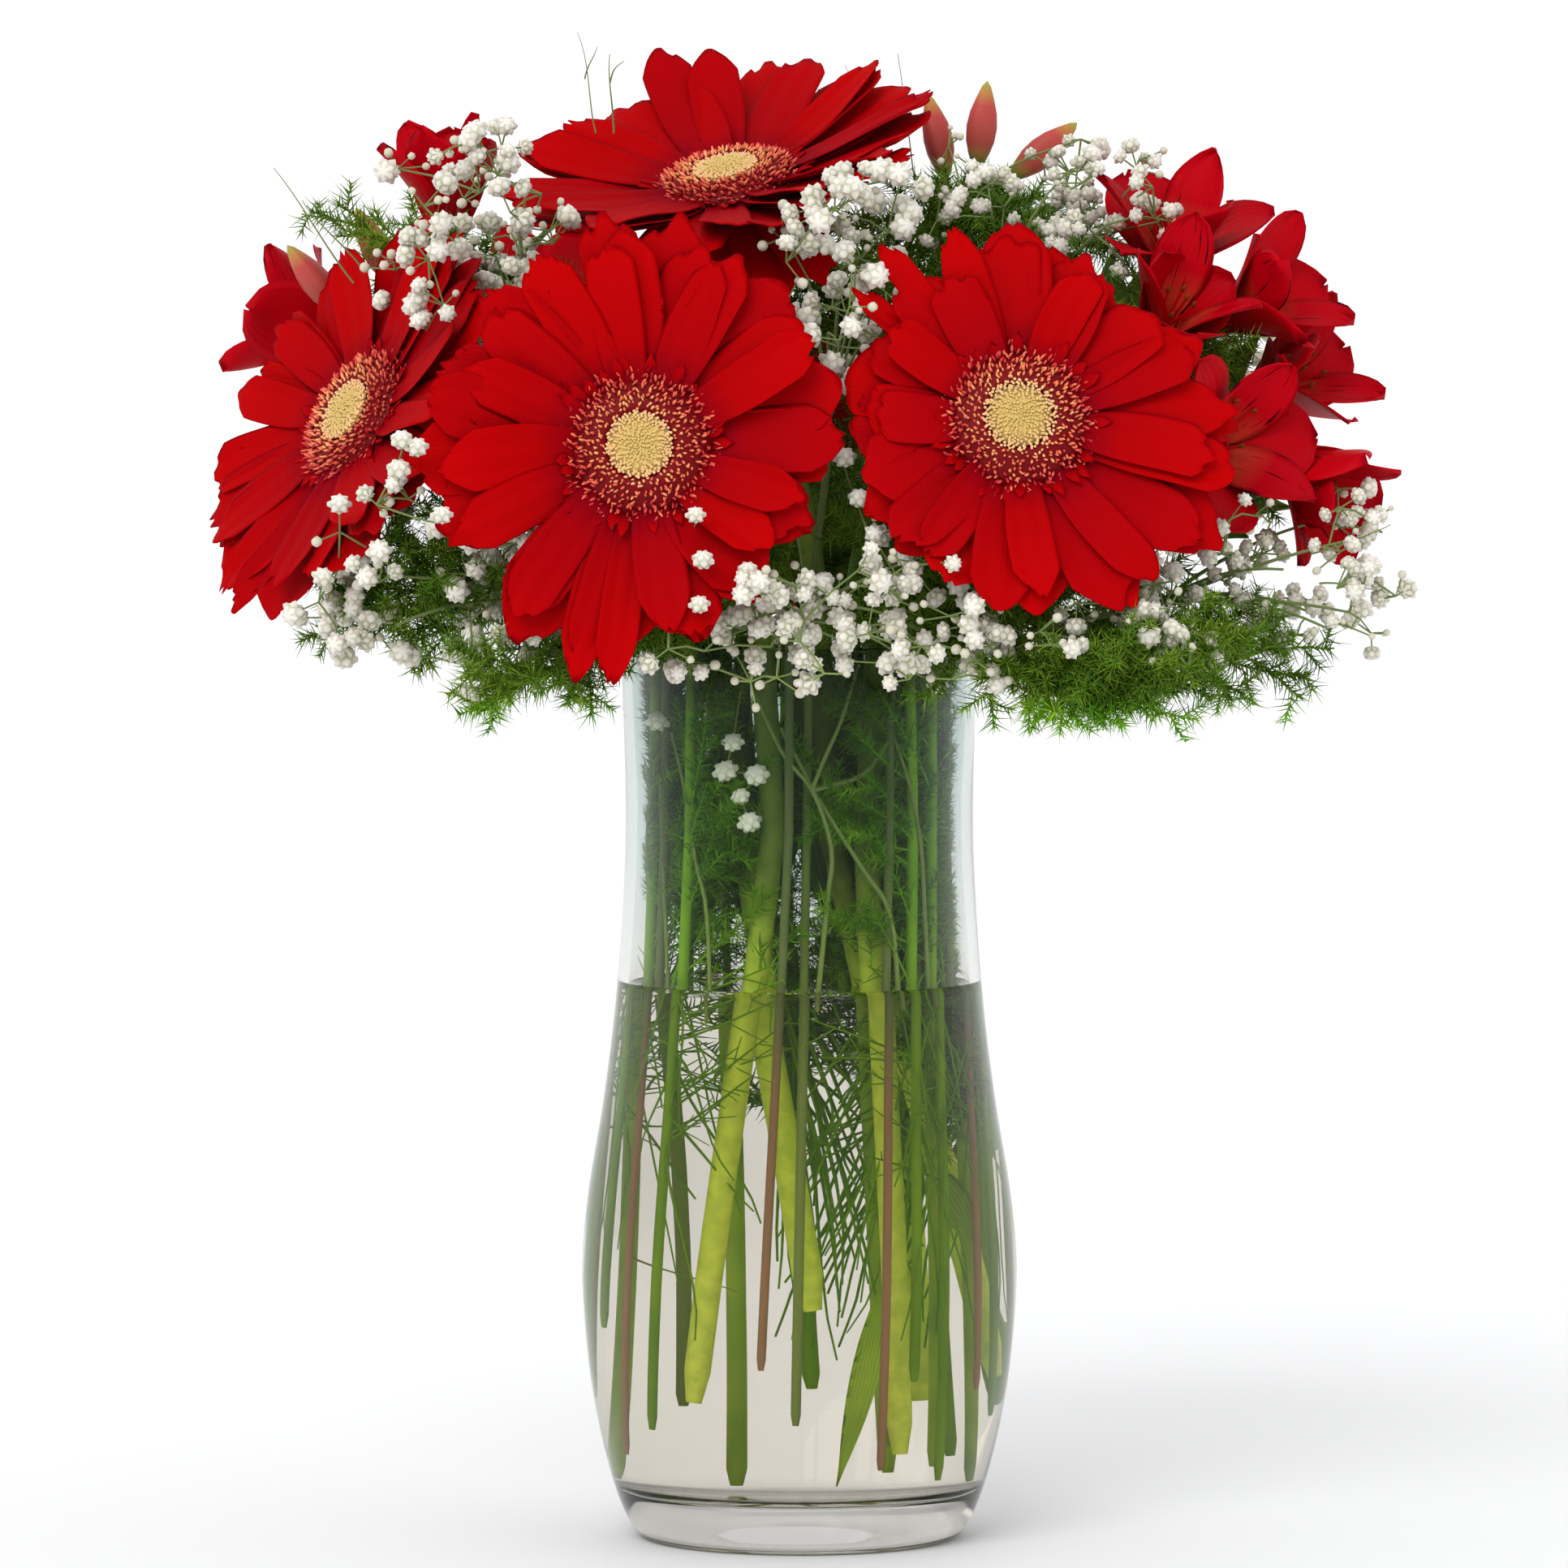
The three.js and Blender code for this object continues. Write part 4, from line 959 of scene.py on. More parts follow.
# %% Disc florets and eye
CUSHION = [(0, 1.2), (7.6, 1.2), (8.4, 3.8), (10.6, 5.0), (13, 4.4), (16.5, 2.7), (19.8, 0.6), (18, -1.5),
           (9, -4), (0, -4)]
CUSHION_TOP = np.array([(0, 4.2), (8.2, 4.2), (10.6, 5.2), (13, 4.6), (16.5, 3.0), (20.5, 0.6)])
EYE_BASE = [(0, 3.9), (8.2, 3.9), (8.7, 4.5), (5, 5.4), (0, 5.8)]
EYE_RADIUS = 9.1
EYE_BUDS = 420
FLORET_RINGS = [(9.7, 44, 2.2), (10.9, 50, 2.4), (12.2, 56, 2.7), (13.5, 62, 2.9), (14.8, 66, 3.0),
                (16.1, 70, 3.0), (17.5, 72, 3.1), (18.9, 74, 3.1), (20.2, 74, 3.1)]
FLORETS_REACH = 20.4
FRINGE_RAYS = 36


def disc_place(row, radius, angle, height, lean, size, twist=0.0):
    """A place on the disc, with its z axis along the disc's axis and leaning outward."""
    axis = row["faces"]
    out = spin_out(axis, angle)
    away = (out * math.cos(twist) + axis.cross(out) * math.sin(twist)).normalized()
    up = axis * math.cos(lean) + away * math.sin(lean)
    across = away.cross(axis).normalized()
    at = row["at"] + out * radius + axis * height
    return matrix_of(across, up.cross(across), up, at) @ Matrix.Diagonal((*size, 1))


def floret_ring(row, index):
    """All florets of a disc: rings of them, longer and redder towards the rays."""
    places, tints = [], []
    first, last = FLORET_RINGS[0][0], FLORET_RINGS[-1][0]
    start = EYE_RADIUS * row.get("eye", 1) + 0.6
    for ring, (radius, count, length) in enumerate(FLORET_RINGS):
        usual = start + (radius - first) / (last - first) * (FLORETS_REACH - start)
        for k in range(count):
            seed = FIRST_SEED["floret"] + index * 800 + ring * 80 + k
            r = usual + between(-0.6, 0.6, seed, 1)
            angle = 2 * math.pi * (k + 0.5 * ring + between(-0.3, 0.3, seed, 2)) / count
            height = float(np.interp(r, *CUSHION_TOP.T)) - 0.7
            lean = between(0.25, 0.8, seed, 3) + 0.06 * ring
            long, thick = length * between(0.6, 1.15, seed, 4), between(0.5, 0.95, seed, 6)
            twist = between(-0.9, 0.9, seed, 7)
            places.append(disc_place(row, r, angle, height, lean, (thick, thick, long), twist))
            tints.append(ring / (len(FLORET_RINGS) - 1) * 0.7 + between(-0.15, 0.4, seed, 5))
    return copies(floret_mesh, places, np.clip(tints, 0, 1))


def eye_mound(row, index):
    """The closed buds of the eye, packed by the golden angle and redder at its edge."""
    places, tints = [], []
    for k in range(EYE_BUDS):
        share = math.sqrt((k + 0.5) / EYE_BUDS)
        height = 4.75 + 1.3 * (1 - share ** 2) + 0.5 * share ** 6
        size = (between(0.8, 1.0, index, k),) * 2 + (0.8,)
        turn = k * GOLDEN + between(-0.5, 0.5, index, k + 500) / (1 + 6 * share)
        radius = EYE_RADIUS * row.get("eye", 1) * share
        places.append(disc_place(row, radius, turn, height, 0.3 * share, size))
        tints.append(share * 0.9 + between(-0.1, 0.1, index, k + 200))
    return copies(bud_mesh, places, np.clip(tints, 0, 1))


def small_ray(row, seed, angle):
    """One of the short narrow rays between the disc and the broad rays."""
    axis = row["faces"]
    out = spin_out(axis, angle)
    across = out.cross(axis)
    place = matrix_of(across, out, across.cross(out), row["at"])
    reach, rise = between(5.5, 9, seed, 1), between(1.5, 4.5, seed, 2)
    return mesh_of(blade(place, lambda t: (17 + reach * t, -0.5 + rise * math.sin(1.4 * t)), 1.5,
                         lambda t: 0.6 + 0.4 * math.sin(math.pi * min(t, 1)), lambda u: 0.3 * u * u,
                         lambda u, t: 0.4 * u * u, (2, 5), 0.35, hue=0.2))


for index, row in enumerate(GERBERAS):
    turns = [2 * math.pi * (k + between(-0.3, 0.3, index, k)) / FRINGE_RAYS for k in range(FRINGE_RAYS)]
    fringe = [small_ray(row, FIRST_SEED["fringe"] + index * 50 + k, turn) for k, turn in enumerate(turns)]
    finished(f"{row['flower']}_fringe", fringe, ray_red, "gerbera_petal")
    cushion = marked(turned(CUSHION, 32, row["at"], row["faces"]), along=0.0, tint=1.0)
    finished(f"{row['flower']}_florets", [cushion, floret_ring(row, index)], floret_red, "gerbera_petal")
    base = marked(turned(EYE_BASE, 24, row["at"], row["faces"]), tint=0.3)
    finished(f"{row['flower']}_buds", [base, eye_mound(row, index)], eye_yellow, "gerbera_eye",
             f"{row['flower']}_eye")
print("discs", len(GERBERAS), "with", sum(count for _, count, _ in FLORET_RINGS), "florets and", EYE_BUDS,
      "buds each")

# %% [markdown]
# ## Alstroemeria: blooms
# Each bloom has six tepals in two rounds of three: broad outer ones with a short point, and narrower, more
# upright inner ones with dark flecks and a lighter throat. Six filaments with small anthers curve out
# between them.

# %% Tepal finish
tepal_red = finish("tepal red", Roughness=0.5, Specular_IOR_Level=0.04)
tepal_along = ramp(tepal_red, attribute(tepal_red, "along"),
                   [(0.0, (0.20, 0.05, 0.01)), (0.16, (0.30, 0.0, 0.003)), (0.6, (0.47, 0.0, 0.004)),
                    (1.0, (0.42, 0.0, 0.006))])
throat = ramp(tepal_red, attribute(tepal_red, "along"),
              [(0.15, (0.30, 0.0, 0.004)), (0.34, (0.50, 0.04, 0.02)), (0.6, (0.46, 0.0, 0.006))])
tepal_ground = mixed(tepal_red, attribute(tepal_red, "inner"), tepal_along, throat)

spot_marks = {axis: attribute(tepal_red, name) for axis, name in zip("XYZ", ("across", "along", "hue"))}
spot_place = node(tepal_red, "CombineXYZ", spot_marks).outputs["Vector"]
spot_grain = node(tepal_red, "Mapping", {"Vector": spot_place, "Scale": (11.0, 2.6, 7.0)}).outputs["Vector"]
spots = node(tepal_red, "TexNoise", {"Vector": spot_grain, "Scale": 1.0, "Detail": 1.0}).outputs["Fac"]
fleck_here = ramp(tepal_red, spots, [(0.66, (0, 0, 0)), (0.7, (1, 1, 1))])
only_inner = ramp(tepal_red, attribute(tepal_red, "inner"), [(0.3, (0, 0, 0)), (0.7, (1, 1, 1))])
tepal_tone = mixed(tepal_red, times(tepal_red, fleck_here, only_inner), tepal_ground, (0.05, 0.0, 0.004))
tepal_own = ramp(tepal_red, attribute(tepal_red, "hue"), [(0.0, (0.85, 0.85, 0.9)), (1.0, (1.12, 1.0, 1.0))])
colour_from(tepal_red, times(tepal_red, tepal_tone, tepal_own))
relief(tepal_red, vein_lines(tepal_red, 30.0), 0.15, 0.0002)
print("tepal finish", len(tepal_red.node_tree.nodes), "nodes")

# %% Alstroemeria blooms
TEPALS = 6
TEPAL_LENGTH = 38
TEPAL_WIDTH = 26
TEPAL_BENDS = [0, -0.25, 0.25, -0.45, 0.45, -0.7, 0.8, -0.9]
HEART = [(0, 0), (2.0, 0.8), (2.8, 3), (3, 6), (1.6, 9), (0, 10)]
FILAMENT_RADII = [0.45, 0.4, 0.35, 0.3]
ANTHER_SIZE = (1.3, 1.3, 2.6)


def tepal_outline(root, widest, point):
    """Narrow at the root, widest at a share of the length, then round or, with a larger point, drawn out."""
    def outline(t):
        if t < widest:
            return root + (1 - root) * math.sin(max(t, 0) / widest * math.pi / 2) ** 1.4
        rest = min(1, (t - widest) / (1 - widest))
        return max(0.05, (1 - rest ** 2) ** 0.5 * (1 - point * rest ** 2))
    return outline


def tepal(head, k, seed, bend):
    """One tepal. Even ones are the broad outer round, odd ones the slimmer and more upright inner one."""
    (at, faces, opened) = head
    inner = k % 2
    out = spin_out(faces, 2 * math.pi * (k + between(-0.14, 0.14, seed, 1)) / TEPALS)
    root = at + out * 1.4 + faces * (2 + inner)
    length = TEPAL_LENGTH * (1.03 if inner else 0.97) * (0.82 if abs(bend) > 0.4 else 1)
    flare = max(0.1, opened * (1.0 if inner else 1.45) * between(0.85, 1.15, seed, 5) + bend)
    width = TEPAL_WIDTH / 2 * (0.75 + 0.25 * opened) * (0.7 if inner else 1.0)
    place = matrix_of(out.cross(faces), faces, -out, root)
    fold, wave = between(1.0, 2.8, seed, 2), between(-1.1, 1.1, seed, 3)
    outline = tepal_outline(0.2, 0.64 if inner else 0.6, between(0.0, 0.5, seed, 6))
    return blade(place, bent_spine(length, 0.1 + 0.25 * opened, flare), width, outline, uncut,
                 lambda u, t: fold * u * u + wave * u * math.sin(5 * t), (8, 16), 0.45,
                 hue=scatter(seed, 4), inner=float(inner))


def pointed(at, way):
    """The matrix that carries a pattern to a place and turns its z axis this way."""
    return Matrix.Translation(at) @ way.to_track_quat("Z", "Y").to_matrix().to_4x4()


def filaments(head, seed):
    """Six curved filaments with small anthers."""
    (at, faces, opened) = head
    lines, places = [], []
    for k in range(TEPALS):
        out = spin_out(faces, 2 * math.pi * (k + between(0, 0.9, seed, k)) / TEPALS)
        droop = faces * between(20, 27, seed, k + 9) + out * between(3, 9, seed, k + 20) * (0.4 + opened)
        mid = at + faces * 12 + out * 1.5
        end = at + droop
        lines.append(([at + faces * 3, mid, (mid + end) / 2 + out * 0.6, end], FILAMENT_RADII))
        places.append(pointed(end, faces) @ Matrix.Diagonal((*ANTHER_SIZE, 1)))
    stalks = marked(tubes(lines, 2), along=0.55, across=0.0, hue=0.9, inner=0.0)
    anthers = copies(bud_mesh, places, [0.0] * len(places))
    return [stalks, marked(anthers, along=0.0, across=0.0, hue=0.2, inner=0.0)]


def bloom(head, seed, name):
    """The tepals of a bloom that find room, with its heart and filaments."""
    tepals = [first_clear(TEPAL_BENDS, lambda bend: tepal(head, k, seed + k, bend), name)
              for k in range(TEPALS)]
    tepals = [mesh for mesh in tepals if mesh]
    heart = marked(turned(HEART, 12, head[0], head[1]), along=0.05, across=0.0, hue=0.3, inner=0.0)
    print(name, len(tepals), "tepals")
    return [*tepals, heart, *filaments(head, seed)]


for index, row in enumerate(ALSTROEMERIAS):
    row["heads"] = [(Vector(at), Vector(faces).normalized(), opened) for at, faces, opened in row["heads"]]
    for h, head in enumerate(row["heads"]):
        if head[2]:
            name = f"{row['flower']}_bloom_{h + 1}"
            parts = bloom(head, FIRST_SEED["tepal"] + index * 40 + h * 8, name)
            finished(f"{name}_tepals", parts, tepal_red, "alstroemeria_tepal", name)

# %% [markdown]
# ## Alstroemeria: leafy stems and buds
# Below the umbel the stem carries thin pointed leaves that arch outwards. Buds are closed spindles, red
# with a green tip. Stem, pedicels, leaves and buds are one piece, and an attribute tells the finish where
# the buds are.

# %% Alstroemeria green
FOLIAGE_TOP = 0.3

leaf_green = finish("alstroemeria green", Roughness=0.45, Specular_IOR_Level=0.2)
leaf_lines = vein_lines(leaf_green, 26.0)
leaf_base = ramp(leaf_green, speckle(leaf_green, 60.0),
                 [(0.3, (0.10, 0.20, 0.035)), (0.7, (0.17, 0.29, 0.05))])
leaf_vein = ramp(leaf_green, leaf_lines, [(0.0, (0, 0, 0)), (1.0, (0.35, 0.35, 0.35))])
# Painted light and shade: below about 145 mm, in the water, the leaves are far brighter than white reflects,
# so they glow through the glass; from 165 to 264 mm, in the neck, they are painted darker, as shade.
leaf_glow_and_neck_shade = ramp(leaf_green, height_share(leaf_green, FOLIAGE_TOP),
                 [(0.48, (3.7, 3.1, 1.4)), (0.55, (0.9, 0.95, 0.8)), (0.76, (0.6, 0.7, 0.6)),
                  (0.88, (1.0, 1.0, 1.0))])
leaf_tone = times(leaf_green, mixed(leaf_green, leaf_vein, leaf_base, (0.26, 0.38, 0.10)), leaf_glow_and_neck_shade)
bud_tone = ramp(leaf_green, attribute(leaf_green, "tint"),
                [(0.0, (0.22, 0.26, 0.04)), (0.25, (0.40, 0.07, 0.05)), (0.7, (0.48, 0.06, 0.05)),
                 (0.86, (0.45, 0.20, 0.05)), (1.0, (0.30, 0.34, 0.05))])
colour_from(leaf_green, mixed(leaf_green, attribute(leaf_green, "bud"), leaf_tone, bud_tone))
relief(leaf_green, leaf_lines, 0.3, 0.0003)
print("leaf finish", len(leaf_green.node_tree.nodes), "nodes")

# %% Alstroemeria stems
LEAF_LENGTH = 52
LEAF_WIDTH = 13
LEAVES = 7
LEAF_BENDS = [0, 0.8, 1.6, 2.4, -0.8, -1.6]
BACKING_SHIFTS = [0, 8, 16, 26, -8]
BACKING_LEAVES = {
    "right_low": [((98, -5, 297), (142, 2, 320), 6.5), ((98, -6, 293), (136, -8, 288), 6),
                  ((99, -4, 300), (128, 6, 336), 6), ((97, -8, 290), (124, -24, 280), 6)],
    "right_high": [((87, 8, 326), (120, 14, 352), 6.5), ((87, 8, 323), (112, 6, 330), 6),
                   ((86, 10, 328), (104, 22, 362), 6)],
}
# Painted shade, in part: the leaves from 165 to 250 mm hang in the neck as a dark mass for the shade of the
# crowded neck; the two lower ones stand in the water.
SUNKEN_LEAVES = {
    "right_low": [((20.5, -21.8, 76), (9, -31, 20), 3.6), ((31, -12, 168), (35, -8, 244), 5.5)],
    "right_high": [((29.5, -5, 102), (45, -13, 80), 4.6), ((32, 5, 165), (38, 8, 243), 6),
                   ((31, 6, 168), (20, 10, 250), 6.5)],
    "top": [((11, 14, 166), (-3, 18, 248), 7), ((12, 14, 172), (12, 22, 250), 7)],
    "back": [((-13, 26, 165), (-22, 22, 246), 7), ((-12, 28, 168), (3, 30, 247), 7)],
    "left": [((-30, 12, 165), (-37, 8, 240), 6), ((-29, 14, 170), (-15, 12, 250), 6.5)],
}
BUD = [(0, 0), (1.9, 1), (2.9, 3.5), (3.9, 7), (4.2, 11), (3.7, 15), (2.5, 19), (1.2, 22.5), (0, 24)]
PEDICEL_REACH = 15.4
PEDICEL_RADII = [1.4, 1.35, 1.3, 1.25, 1.2, 1.15, 1.15, 1.2, 1.35]


def along_line(line, share):
    """The place at a share of a line of points, and the way the line goes there."""
    last = len(line) - 1
    spot = share * last
    before, here, after = max(int(spot) - 1, 0), int(spot), min(int(spot) + 1, last)
    return line[here].lerp(line[after], spot - here), (line[after] - line[before]).normalized()


def leaf_outline(t):
    """Pointed at both ends, and widest before the middle."""
    return max(0.06, math.sin(math.pi * min(1, max(t, 0.03)) ** 0.8))


def leaf(row, share, seed, bend):
    """A leaf that arches out from the stem, at a share of the stem's curved part."""
    at, axis = along_line(row["line"][2], share)
    out = spin_out(axis, seed * 2.4 + bend)
    if out.z < -0.2:
        out.negate()
    place = matrix_of(out.cross(axis), axis, -out, at)
    spine = bent_spine(LEAF_LENGTH * between(0.8, 1.15, seed, 9), 0.6, between(1.0, 1.7, seed, 4))
    return blade(place, spine, LEAF_WIDTH / 2, leaf_outline, uncut,
                 lambda u, t: 1.2 * u * u + 0.8 * u * math.sin(6 * t), (6, 14), 0.4, bud=0.0)


def placed_leaf(start, end, half_width):
    """A leaf from one place to another, seen flat from the front, as under water and behind the blooms."""
    way = Vector(end) - Vector(start)
    forward = way.normalized()
    across = forward.cross(Vector((0.2, -1, 0))).normalized()
    place = matrix_of(across, forward, across.cross(forward), Vector(start))
    return blade(place, lambda t: (way.length * t, 2.5 * math.sin(math.pi * min(max(t, 0), 1))), half_width,
                 leaf_outline, uncut, lambda u, t: 1.0 * u * u + 0.5 * u * math.sin(7 * t), (4, 12), 0.35,
                 bud=0.0)


def closed_bud(at, faces):
    """A spindle with three shallow furrows, which knows how far up it each point lies."""
    made = turned(BUD, 18, at, faces)
    shape = bmesh.new()
    shape.from_mesh(made)
    tint = shape.verts.layers.float.new("tint")
    level, upward = face_axes(faces)
    for vert in shape.verts:
        reach = (vert.co - at).dot(faces)
        side = vert.co - at - faces * reach
        vert[tint] = reach / BUD[-1][1]
        vert.co += side * 0.10 * math.cos(3 * math.atan2(side.dot(upward), side.dot(level)))
    bpy.data.meshes.remove(made)
    return marked(mesh_of(shape), bud=1.0)


def pedicel(fork, at, faces, opened):
    """The bent stalk from the fork of an umbel to one of its blooms or buds."""
    end = at + faces * (-0.4 if opened else 1)
    bows = [fork, fork.lerp(at, 0.35) + UP * 2, at - faces * PEDICEL_REACH, end]
    return tubes([(interpolate_bezier(*bows, len(PEDICEL_RADII)), PEDICEL_RADII)], 3)


def leaves_of(row, index):
    """The leaves along a stem and behind its blooms that find room, and those in the vase."""
    made = []
    for k in range(LEAVES):
        share, seed = 0.97 - 0.11 * k, FIRST_SEED["leaf"] + index * 10 + k
        made.append(first_clear(LEAF_BENDS, lambda bend: leaf(row, share, seed, bend), row["flower"]))
    for start, end, half_width in BACKING_LEAVES.get(row["name"], ()):
        made.append(first_clear(
            BACKING_SHIFTS, lambda back: placed_leaf(start, Vector(end) + Vector((0, back, 0)), half_width),
            row["flower"]))
    made += [mesh_of(placed_leaf(*spot)) for spot in SUNKEN_LEAVES.get(row["name"], ())]
    return [mesh for mesh in made if mesh]


for index, row in enumerate(ALSTROEMERIAS):
    green = [row["stem"]]
    for at, faces, opened in row["heads"]:
        green.append(pedicel(row["fork"], at, faces, opened))
        if not opened:
            green.append(closed_bud(at, faces))
    green += leaves_of(row, index)
    finished(f"{row['flower']}_green", green, leaf_green, "alstroemeria_green", f"{row['flower']}_stem")
    print(row["flower"], len(green), "green parts")

# %% [markdown]
# ## Gypsophila
# A spray forks again and again into hair-thin twigs, each with a white double floret the size of a pea, and
# some green-white buds. One floret is modelled as a ruffled ball and copied. The twigs are one curve object
# with many splines. Florets look for a place with room, so that none sits in a petal.

# %% Gypsophila finish and patterns
white = finish("gypsophila", Roughness=0.75, Specular_IOR_Level=0.2, Sheen_Weight=0.15)
petal_white = ramp(white, attribute(white, "along"),
                   [(0.0, (0.30, 0.32, 0.17)), (0.3, (0.66, 0.62, 0.50)), (0.7, (0.83, 0.79, 0.72))])
white_height = height_share(white, FOLIAGE_TOP)
# Painted light: florets below about 230 mm, in the neck, are made brighter than white reflects, so they glow
# through the glass.
in_neck = ramp(white, white_height, [(0.766, (2.6, 2.5, 2.4)), (0.776, (1.0, 1.0, 1.0))])
twig_green = ramp(white, white_height, [(0.77, (0.36, 0.48, 0.10)), (0.84, (0.16, 0.22, 0.06))])
twig_brown = ramp(white, white_height, [(0.1, (0.70, 0.38, 0.18)), (0.42, (0.58, 0.34, 0.15)),
                                        (0.5, (0.24, 0.30, 0.08)), (0.85, (0.16, 0.22, 0.06))])
twig_tone = mixed(white, attribute(white, "bark"), twig_green, twig_brown)
colour_from(white, mixed(white, attribute(white, "white"), twig_tone, times(white, petal_white, in_neck)))

floret = bmesh.new()
bmesh.ops.create_uvsphere(floret, u_segments=12, v_segments=7, radius=1)
floret_crease_shade = floret.verts.layers.float.new("along")
for vert in floret.verts:
    turn, level = math.atan2(vert.co.y, vert.co.x), vert.co.z
    tier = round(3.5 * math.asin(max(-1, min(1, level))) / math.pi * 2)
    crest = math.cos(6 * turn + math.pi * tier)
    # Painted shade: the mark is lowest in the hollows between the ruffles and on the underside, where the
    # finish colours the floret darker and greener.
    vert[floret_crease_shade] = 0.5 + 0.4 * crest + 0.15 * level
    vert.co *= 1 + 0.16 * crest * (1 - level ** 2) ** 0.5
    vert.co.z *= 0.8
floret_white = marked(mesh_of(floret), white=1.0)

bud_ball = bmesh.new()
bmesh.ops.create_uvsphere(bud_ball, u_segments=6, v_segments=5, radius=1)
bud_white = marked(mesh_of(bud_ball), white=0.9, along=0.3)
print("a floret has", len(floret_white.polygons), "faces and a bud", len(bud_white.polygons))


# %% Gypsophila twigs, listed one by one
LOOSE_TWIGS = {
    "left_high": [((-57, 20, 392), (-62, 14, 420)), ((-60, 16, 407), (-56.5, 14, 416)),
                  ((-52, 22, 392), (-53, 16, 414)), ((-53, 17, 406), (-49, 16, 412)),
                  ((-124, 0, 350), (-146, -4, 382)), ((-120, -2, 352), (-138, -5, 373))],
    "right_high": [((36, 32, 350), (13, 60, 412)), ((36, 32, 350), (28, 58, 415)),
                   ((88, -6, 372), (101, -8, 386))],
    "right_low": [((140, -46, 276), (162, -44, 284)), ((142, -50, 268), (159, -50, 266))],
    "left_low": [((-41.2, -16.5, 80), (-14, -17, 71))],
}
SINGLES = {
    "left_low": [(-96, -101, 288), (-108, -90, 300), (-103, -92, 306), (-107, -93, 308)],
    "front_low": [(-28, -101, 288), (-26, -101, 276), (-27, -100, 264), (-14, -98, 273), (16, -78, 292),
                  (12, -76, 303)],
}
SPRIG = [(-18, -37, 224), (-20, -36, 216), (-11.5, -38, 215), (-16, -37, 209), (-13.5, -38, 202),
         (-38, -19, 229)]
OWN_STALKS = (0, 5)
NECK_TWIGS = [
    ((-15.6, -39, 246), (-5.1, -41, 222), (3.3, -42, 211), (8.5, -41, 195), (7.4, -41.5, 180),
     (4.5, -42, 150)),
    ((15.8, -37, 245), (11.6, -39, 231), (6.5, -40, 219), (3.3, -42, 211)),
    ((25.2, -33, 226), (17, -37, 215), (3.3, -42, 211)),
    ((-5.1, -39, 228), (5.4, -40, 208), (17, -38, 189), (24.3, -35, 176), (27, -34, 150)),
    ((25.2, -33, 226), (29.5, -30, 212), (32.6, -28, 195), (33.7, -27, 176), (35, -25, 150)),
    ((-34.6, -24, 226), (-31.3, -28, 212), (-28, -31, 191), (-25, -33, 176), (-24, -34, 146)),
    ((-37.7, -19, 212), (-36.6, -20, 181), (-35.5, -22, 150)),
]
BARKY = ("left_low", "front_low", "front_right", "right_low")
print(len(NECK_TWIGS), "twigs in the neck and", sum(map(len, LOOSE_TWIGS.values())), "loose ones")

# %% Gypsophila sprays
BOUGHS = 6
BOUGH_POINTS = 9
TWIG_POINTS = 10
FLORET_RADIUS = 3.4
BUD_RADIUS = 1.3
BUD_SHARE = 0.42


def in_cloud(row, seed, k, share):
    """A place in the cloud of a spray, or in the middle share of it."""
    return Vector(middle + spread * share * between(-1, 1, seed, k + 31 * axis)
                  for axis, (middle, spread) in enumerate(zip(row["middle"], row["spread"])))


def turned_to(at, way, radius, seed):
    """The matrix of a floret or bud that looks this way, with a turn of its own."""
    spin = Matrix.Rotation(between(0, 6, seed, 40), 4, "Z")
    return pointed(at, way) @ spin @ Matrix.Scale(radius, 4)


def tuft(row, hub, seed, florets, buds, tints, lines):
    """A few florets and buds on short stalks round a hub."""
    size = row["size"]
    for f in range(3 + int(2.5 * scatter(seed, 4))):
        own = seed * 7 + f
        way = Vector((between(-1, 1, own, 1), between(-1, 0.8, own, 2), between(-0.5, 1, own, 3)))
        way.normalize()
        is_bud = scatter(own, 5) < BUD_SHARE
        if is_bud:
            radius = size * (BUD_RADIUS * between(0.8, 1.3, own, 6))
        else:
            radius = size * (FLORET_RADIUS * between(0.7, 1.12, own, 6))
        at = hub + way * size * between(4.5, 11, own, 4)
        if not room_at(at, radius + 0.3):
            continue
        lines.append(([hub, at - way * radius * 0.6], [0.26, 0.24]))
        (buds if is_bud else florets).append(turned_to(at, way, radius, own))
        if not is_bud:
            tints.append(scatter(own, 8))


def loose_twig(start, tip, k):
    """A bare twig that bends on its way from one place to another."""
    start, tip = Vector(start), Vector(tip)
    side = (tip - start) * 0.3 + Vector((between(-2, 2, k, 61), 0, between(-1, 2, k, 62)))
    bend = Vector((between(-3, 3, k, 63), 0, 0))
    line = interpolate_bezier(start, start + side, tip - (tip - start) * 0.3 + bend, tip, TWIG_POINTS)
    return line, np.linspace(0.3, 0.1, TWIG_POINTS)


def nearest(knots, place):
    """The knot on the twigs from which a new twig is shortest."""
    return min(knots, key=lambda knot: (knot - place).length)


def lone_floret(row, at, knots, k):
    """A floret in front of the others: its twig, from the nearest knot, and its matrix."""
    start, behind = nearest(knots, at), at + Vector((0, 18, -4))
    bows = [start, start.lerp(behind, 0.6), behind, at + Vector((0, 2, -1))]
    twig = interpolate_bezier(*bows, TWIG_POINTS), np.linspace(0.32, 0.24, TWIG_POINTS)
    radius = FLORET_RADIUS * row["size"] * between(0.8, 1.05, k, 64)
    return twig, turned_to(at, Vector((0, -0.5, 1)), radius, k)


